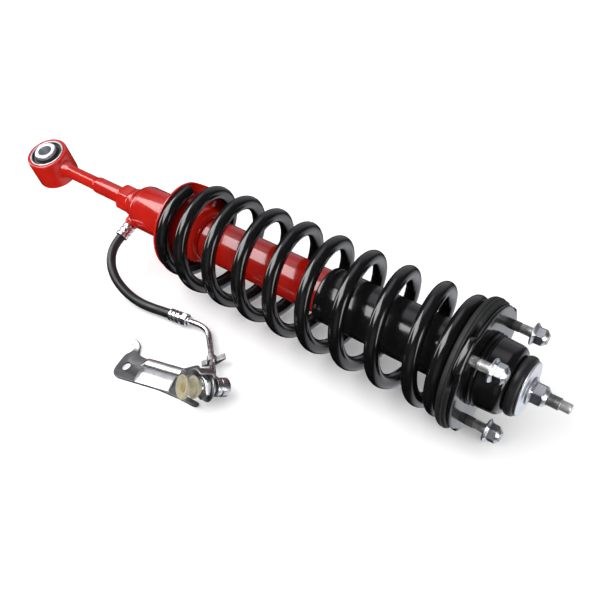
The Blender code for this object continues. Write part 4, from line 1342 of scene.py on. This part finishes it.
def add_cover_and_bump_stop():
    wall = 1.6
    inside = COVER_RADIUS - wall
    cover = [(COVER_X, inside), (COVER_X, COVER_RADIUS - 1.2), (COVER_X + 1.6, COVER_RADIUS)]
    cover += [(COVER_X + 6, COVER_RADIUS), (COVER_X + 7, COVER_RADIUS - 0.5)]
    top = 600
    hole = 22.5
    cover += [(top, COVER_RADIUS - 0.5), (top, hole), (top - 2.5, hole), (top - 2.5, inside)]
    shell = turned("cover_shell", cover, COVER_BLACK, STRUT, FINE_ROUND, 0.7)
    piece(shell, "black_gloss", "dust_cover", body=ROD_BODY)
    bore = ROD_RADIUS + 0.4
    foot = 558
    head = 603.3
    outline = [(foot, 14.6), (562, 18), (567, 20.5), (571, 16.5), (575, 21.5), (583, 21.5)]
    outline += [(587, 17), (591, 21.5), (head, 21.5)]
    section = [(foot, bore)] + outline + [(head, bore)]
    stop = turned("bump_foam_stop", section, FOAM, STRUT, ROUND, 2.0)
    piece(stop, "bump_foam", "bump_stop", body=ROD_BODY)


def add_mount_plate():
    """The top plate: three ears with a turned-down lip, and a flat seat between them."""
    hole = 31.0
    lobe_radius = EYE_CENTRE.z - 0.1

    def section(azimuth):
        lobe = near_stud(azimuth, 20.0)
        edge = PLATE_RADIUS + (lobe_radius - PLATE_RADIUS) * lobe
        lip = 4.5 * lobe
        inner_edge = edge - 2.4
        swell = 0.6 + 0.8 * lobe
        points = [
            (PLATE_X, hole), (PLATE_X, inner_edge - 0.8), (PLATE_X - lip, inner_edge),
            (PLATE_X - lip - 0.2, edge - swell), (PLATE_X - lip + 2.0, edge),
            (PLATE_TOP_X - 0.8 - swell, edge), (PLATE_TOP_X, edge - 0.8 - swell), (PLATE_TOP_X, hole),
        ]
        return eased(points, 1.1, 4)

    piece(swept("top_plate", section, FINE_ROUND, GLOSS), "black_gloss", "mount_plate", body=ROD_BODY)


def add_cup():
    start = PLATE_TOP_X + 0.1
    mouth = 17.0
    section = [
        (start, 33), (start, CUP_RADIUS + 1), (start + 2.6, CUP_RADIUS + 1),
        (start + 3.4, CUP_RADIUS - 0.3), (start + 4.2, CUP_RADIUS), (start + 5.6, CUP_RADIUS + 0.6),
        (start + 7.2, CUP_RADIUS - 0.7),
    ]
    bend = 8.5
    side = CUP_RADIUS - 1.3
    section += arc(bend, 90, 0, 12, (CUP_END_X - bend, side - bend))
    wall = 2.5
    section += [(CUP_END_X, mouth), (CUP_END_X - wall, mouth), (CUP_END_X - wall, side - bend)]
    section += [(CUP_END_X - bend, side - wall), (start + 6, CUP_RADIUS - wall - 0.6)]
    cup = turned("bush_cup", section, GLOSS, STRUT, FINE_ROUND, 0.6)
    piece(cup, "black_gloss", "cup_housing", body=ROD_BODY)


def add_mount_stack():
    """Cushion, washer and lock nut on the rod's thread."""
    bore = 9.3
    low = 637.7
    high = 648.1
    top = [(low, bore), (low, 26.4), (low + 1.2, 28.2), (low + 3.5, 29.3)]
    top += [(high - 4.5, 29.5), (high - 1.9, 28.9), (high, 26.9), (high, bore)]
    cushion = turned("upper_cushion", top, RUBBER, STRUT, FINE_ROUND, 1.0)
    piece(cushion, "black_rubber", "top_mount_cushion", body=ROD_BODY)
    hole = ROD_THREAD_RADIUS + 0.2
    under = high + 0.1
    face = NUT_X - 0.2
    washer = [(under, hole), (under, WASHER_RADIUS - 1.2), (under + 0.8, WASHER_RADIUS)]
    washer += [(under + 2.0, WASHER_RADIUS - 0.1), (face - 0.7, WASHER_RADIUS - 2.4)]
    washer += [(face - 0.5, 19), (face - 0.9, 16.6), (face, 14.8), (face, hole)]
    disc = turned("crown_washer", washer, PALE_ZINC, STRUT, FINE_ROUND, 0.5)
    piece(disc, "bright_zinc", "top_washer", body=ROD_BODY)
    bore = ROD_THREAD_RADIUS + 0.15
    nut = flanged_nut("rod_nut", NUT_X, bore, ROD_NUT_FLANGE, 19, 16.8, 20.0)
    piece(nut, "bright_zinc", "rod_lock_nut", body=ROD_BODY)


def flanged_nut(name, x, bore, flange, flats, length, turn, place=STRUT):
    """A hexagon nut on a sloping round flange, with chamfered corners and a coned crown."""
    inscribed = flats / 2
    crown = inscribed * 0.93
    cone = length * 0.17

    def section(azimuth):
        side = hex_radius(azimuth, flats, turn)
        chamfer = max(side - inscribed * 0.98, 0.0) * 0.6
        hex_top = x + length - cone
        points = [
            (x, bore), (x, flange - 0.4), (x + 0.5, flange), (x + 1.4, flange - 0.1),
            (x + 3.0, side + 1.0), (x + 4.0, side), (hex_top - 0.5 - chamfer, side),
            (hex_top + 0.1, crown), (x + length - 0.5, crown - cone * 0.75),
            (x + length, crown - cone * 1.1), (x + length, bore + 0.5), (x + length - 0.7, bore),
        ]
        return eased(points, 0.28, 3)

    return swept(name, section, HEX_SIDES * 24, ZINC, place, sharp=24.0)


def add_studs():
    """Press-in studs: a dark knurled root, a plain neck, then the thread the nut sits on."""
    tip = 641.0
    pitch = 1.25
    neck = PLATE_TOP_X + 7.6
    thread_start = neck + 1.2
    crest = STUD_RADIUS
    knurls = 24

    def section(azimuth):
        knurl = 0.22 * math.cos(math.radians(azimuth) * knurls)
        points = [
            (PLATE_X, 0.0), (PLATE_X, crest - 0.2), (PLATE_TOP_X, crest - 0.2 + knurl),
            (neck - 0.6, crest - 0.2 + knurl), (neck, crest - 0.6), (thread_start - 0.2, crest - 0.6),
        ]
        points += thread_line(thread_start, tip - 1.4, crest, pitch, azimuth, 0.5)
        points += [(tip - 1.1, crest - 0.7), (tip, crest - 1.4), (tip, 0.0)]
        return points

    for number, azimuth in enumerate(STUD_AZIMUTHS, start=1):
        place = STRUT @ Matrix.Translation(direction(azimuth) * STUD_CIRCLE)
        stud = swept(f"stud_{number}", section, 96, STUD_STEEL, place)
        stud.data.materials.append(THREAD)
        for face in stud.data.polygons:
            if face.center.x / MM < neck:
                face.material_index = 1
        piece(stud, "bright_zinc", f"mount_stud_{number}", body=ROD_BODY)
        turn = 8.0 + 17.0 * number
        bore = STUD_RADIUS + 0.1
        name = f"stud_nut_{number}"
        size = (16, 14.6)
        nut = flanged_nut(name, STUD_NUT_X, bore, STUD_NUT_FLANGE, *size, turn, place)
        piece(nut, "bright_zinc", f"flange_nut_{number}", body=ROD_BODY)


def finish_kept_nodes():
    """Gives the sealed inner pieces, which keep their model shapes, their real finishes."""
    finishes = {
        "inner_cylinder": STEEL,
        "base_valve": BRONZE,
        "rod_guide": BRONZE,
        "oil_seal": RUBBER,
        "piston": STEEL,
        "piston_band": BRONZE,
        "piston_nut": ZINC,
        "lower_mount_bush": RUBBER,
        "lower_mount_washer": ZINC,
        "spacer_sleeve": ZINC,
    }
    for name, finish in finishes.items():
        node = frame["nodes"][name]
        node.data.materials.clear()
        node.data.materials.append(finish)


add_eye()
add_eye_weld()
add_shank()
add_collar()
add_damper_body()
add_spring()
add_lower_seat()
add_insulator()
add_rod()
add_cover_and_bump_stop()
add_mount_plate()
add_cup()
add_mount_stack()
add_studs()
finish_kept_nodes()
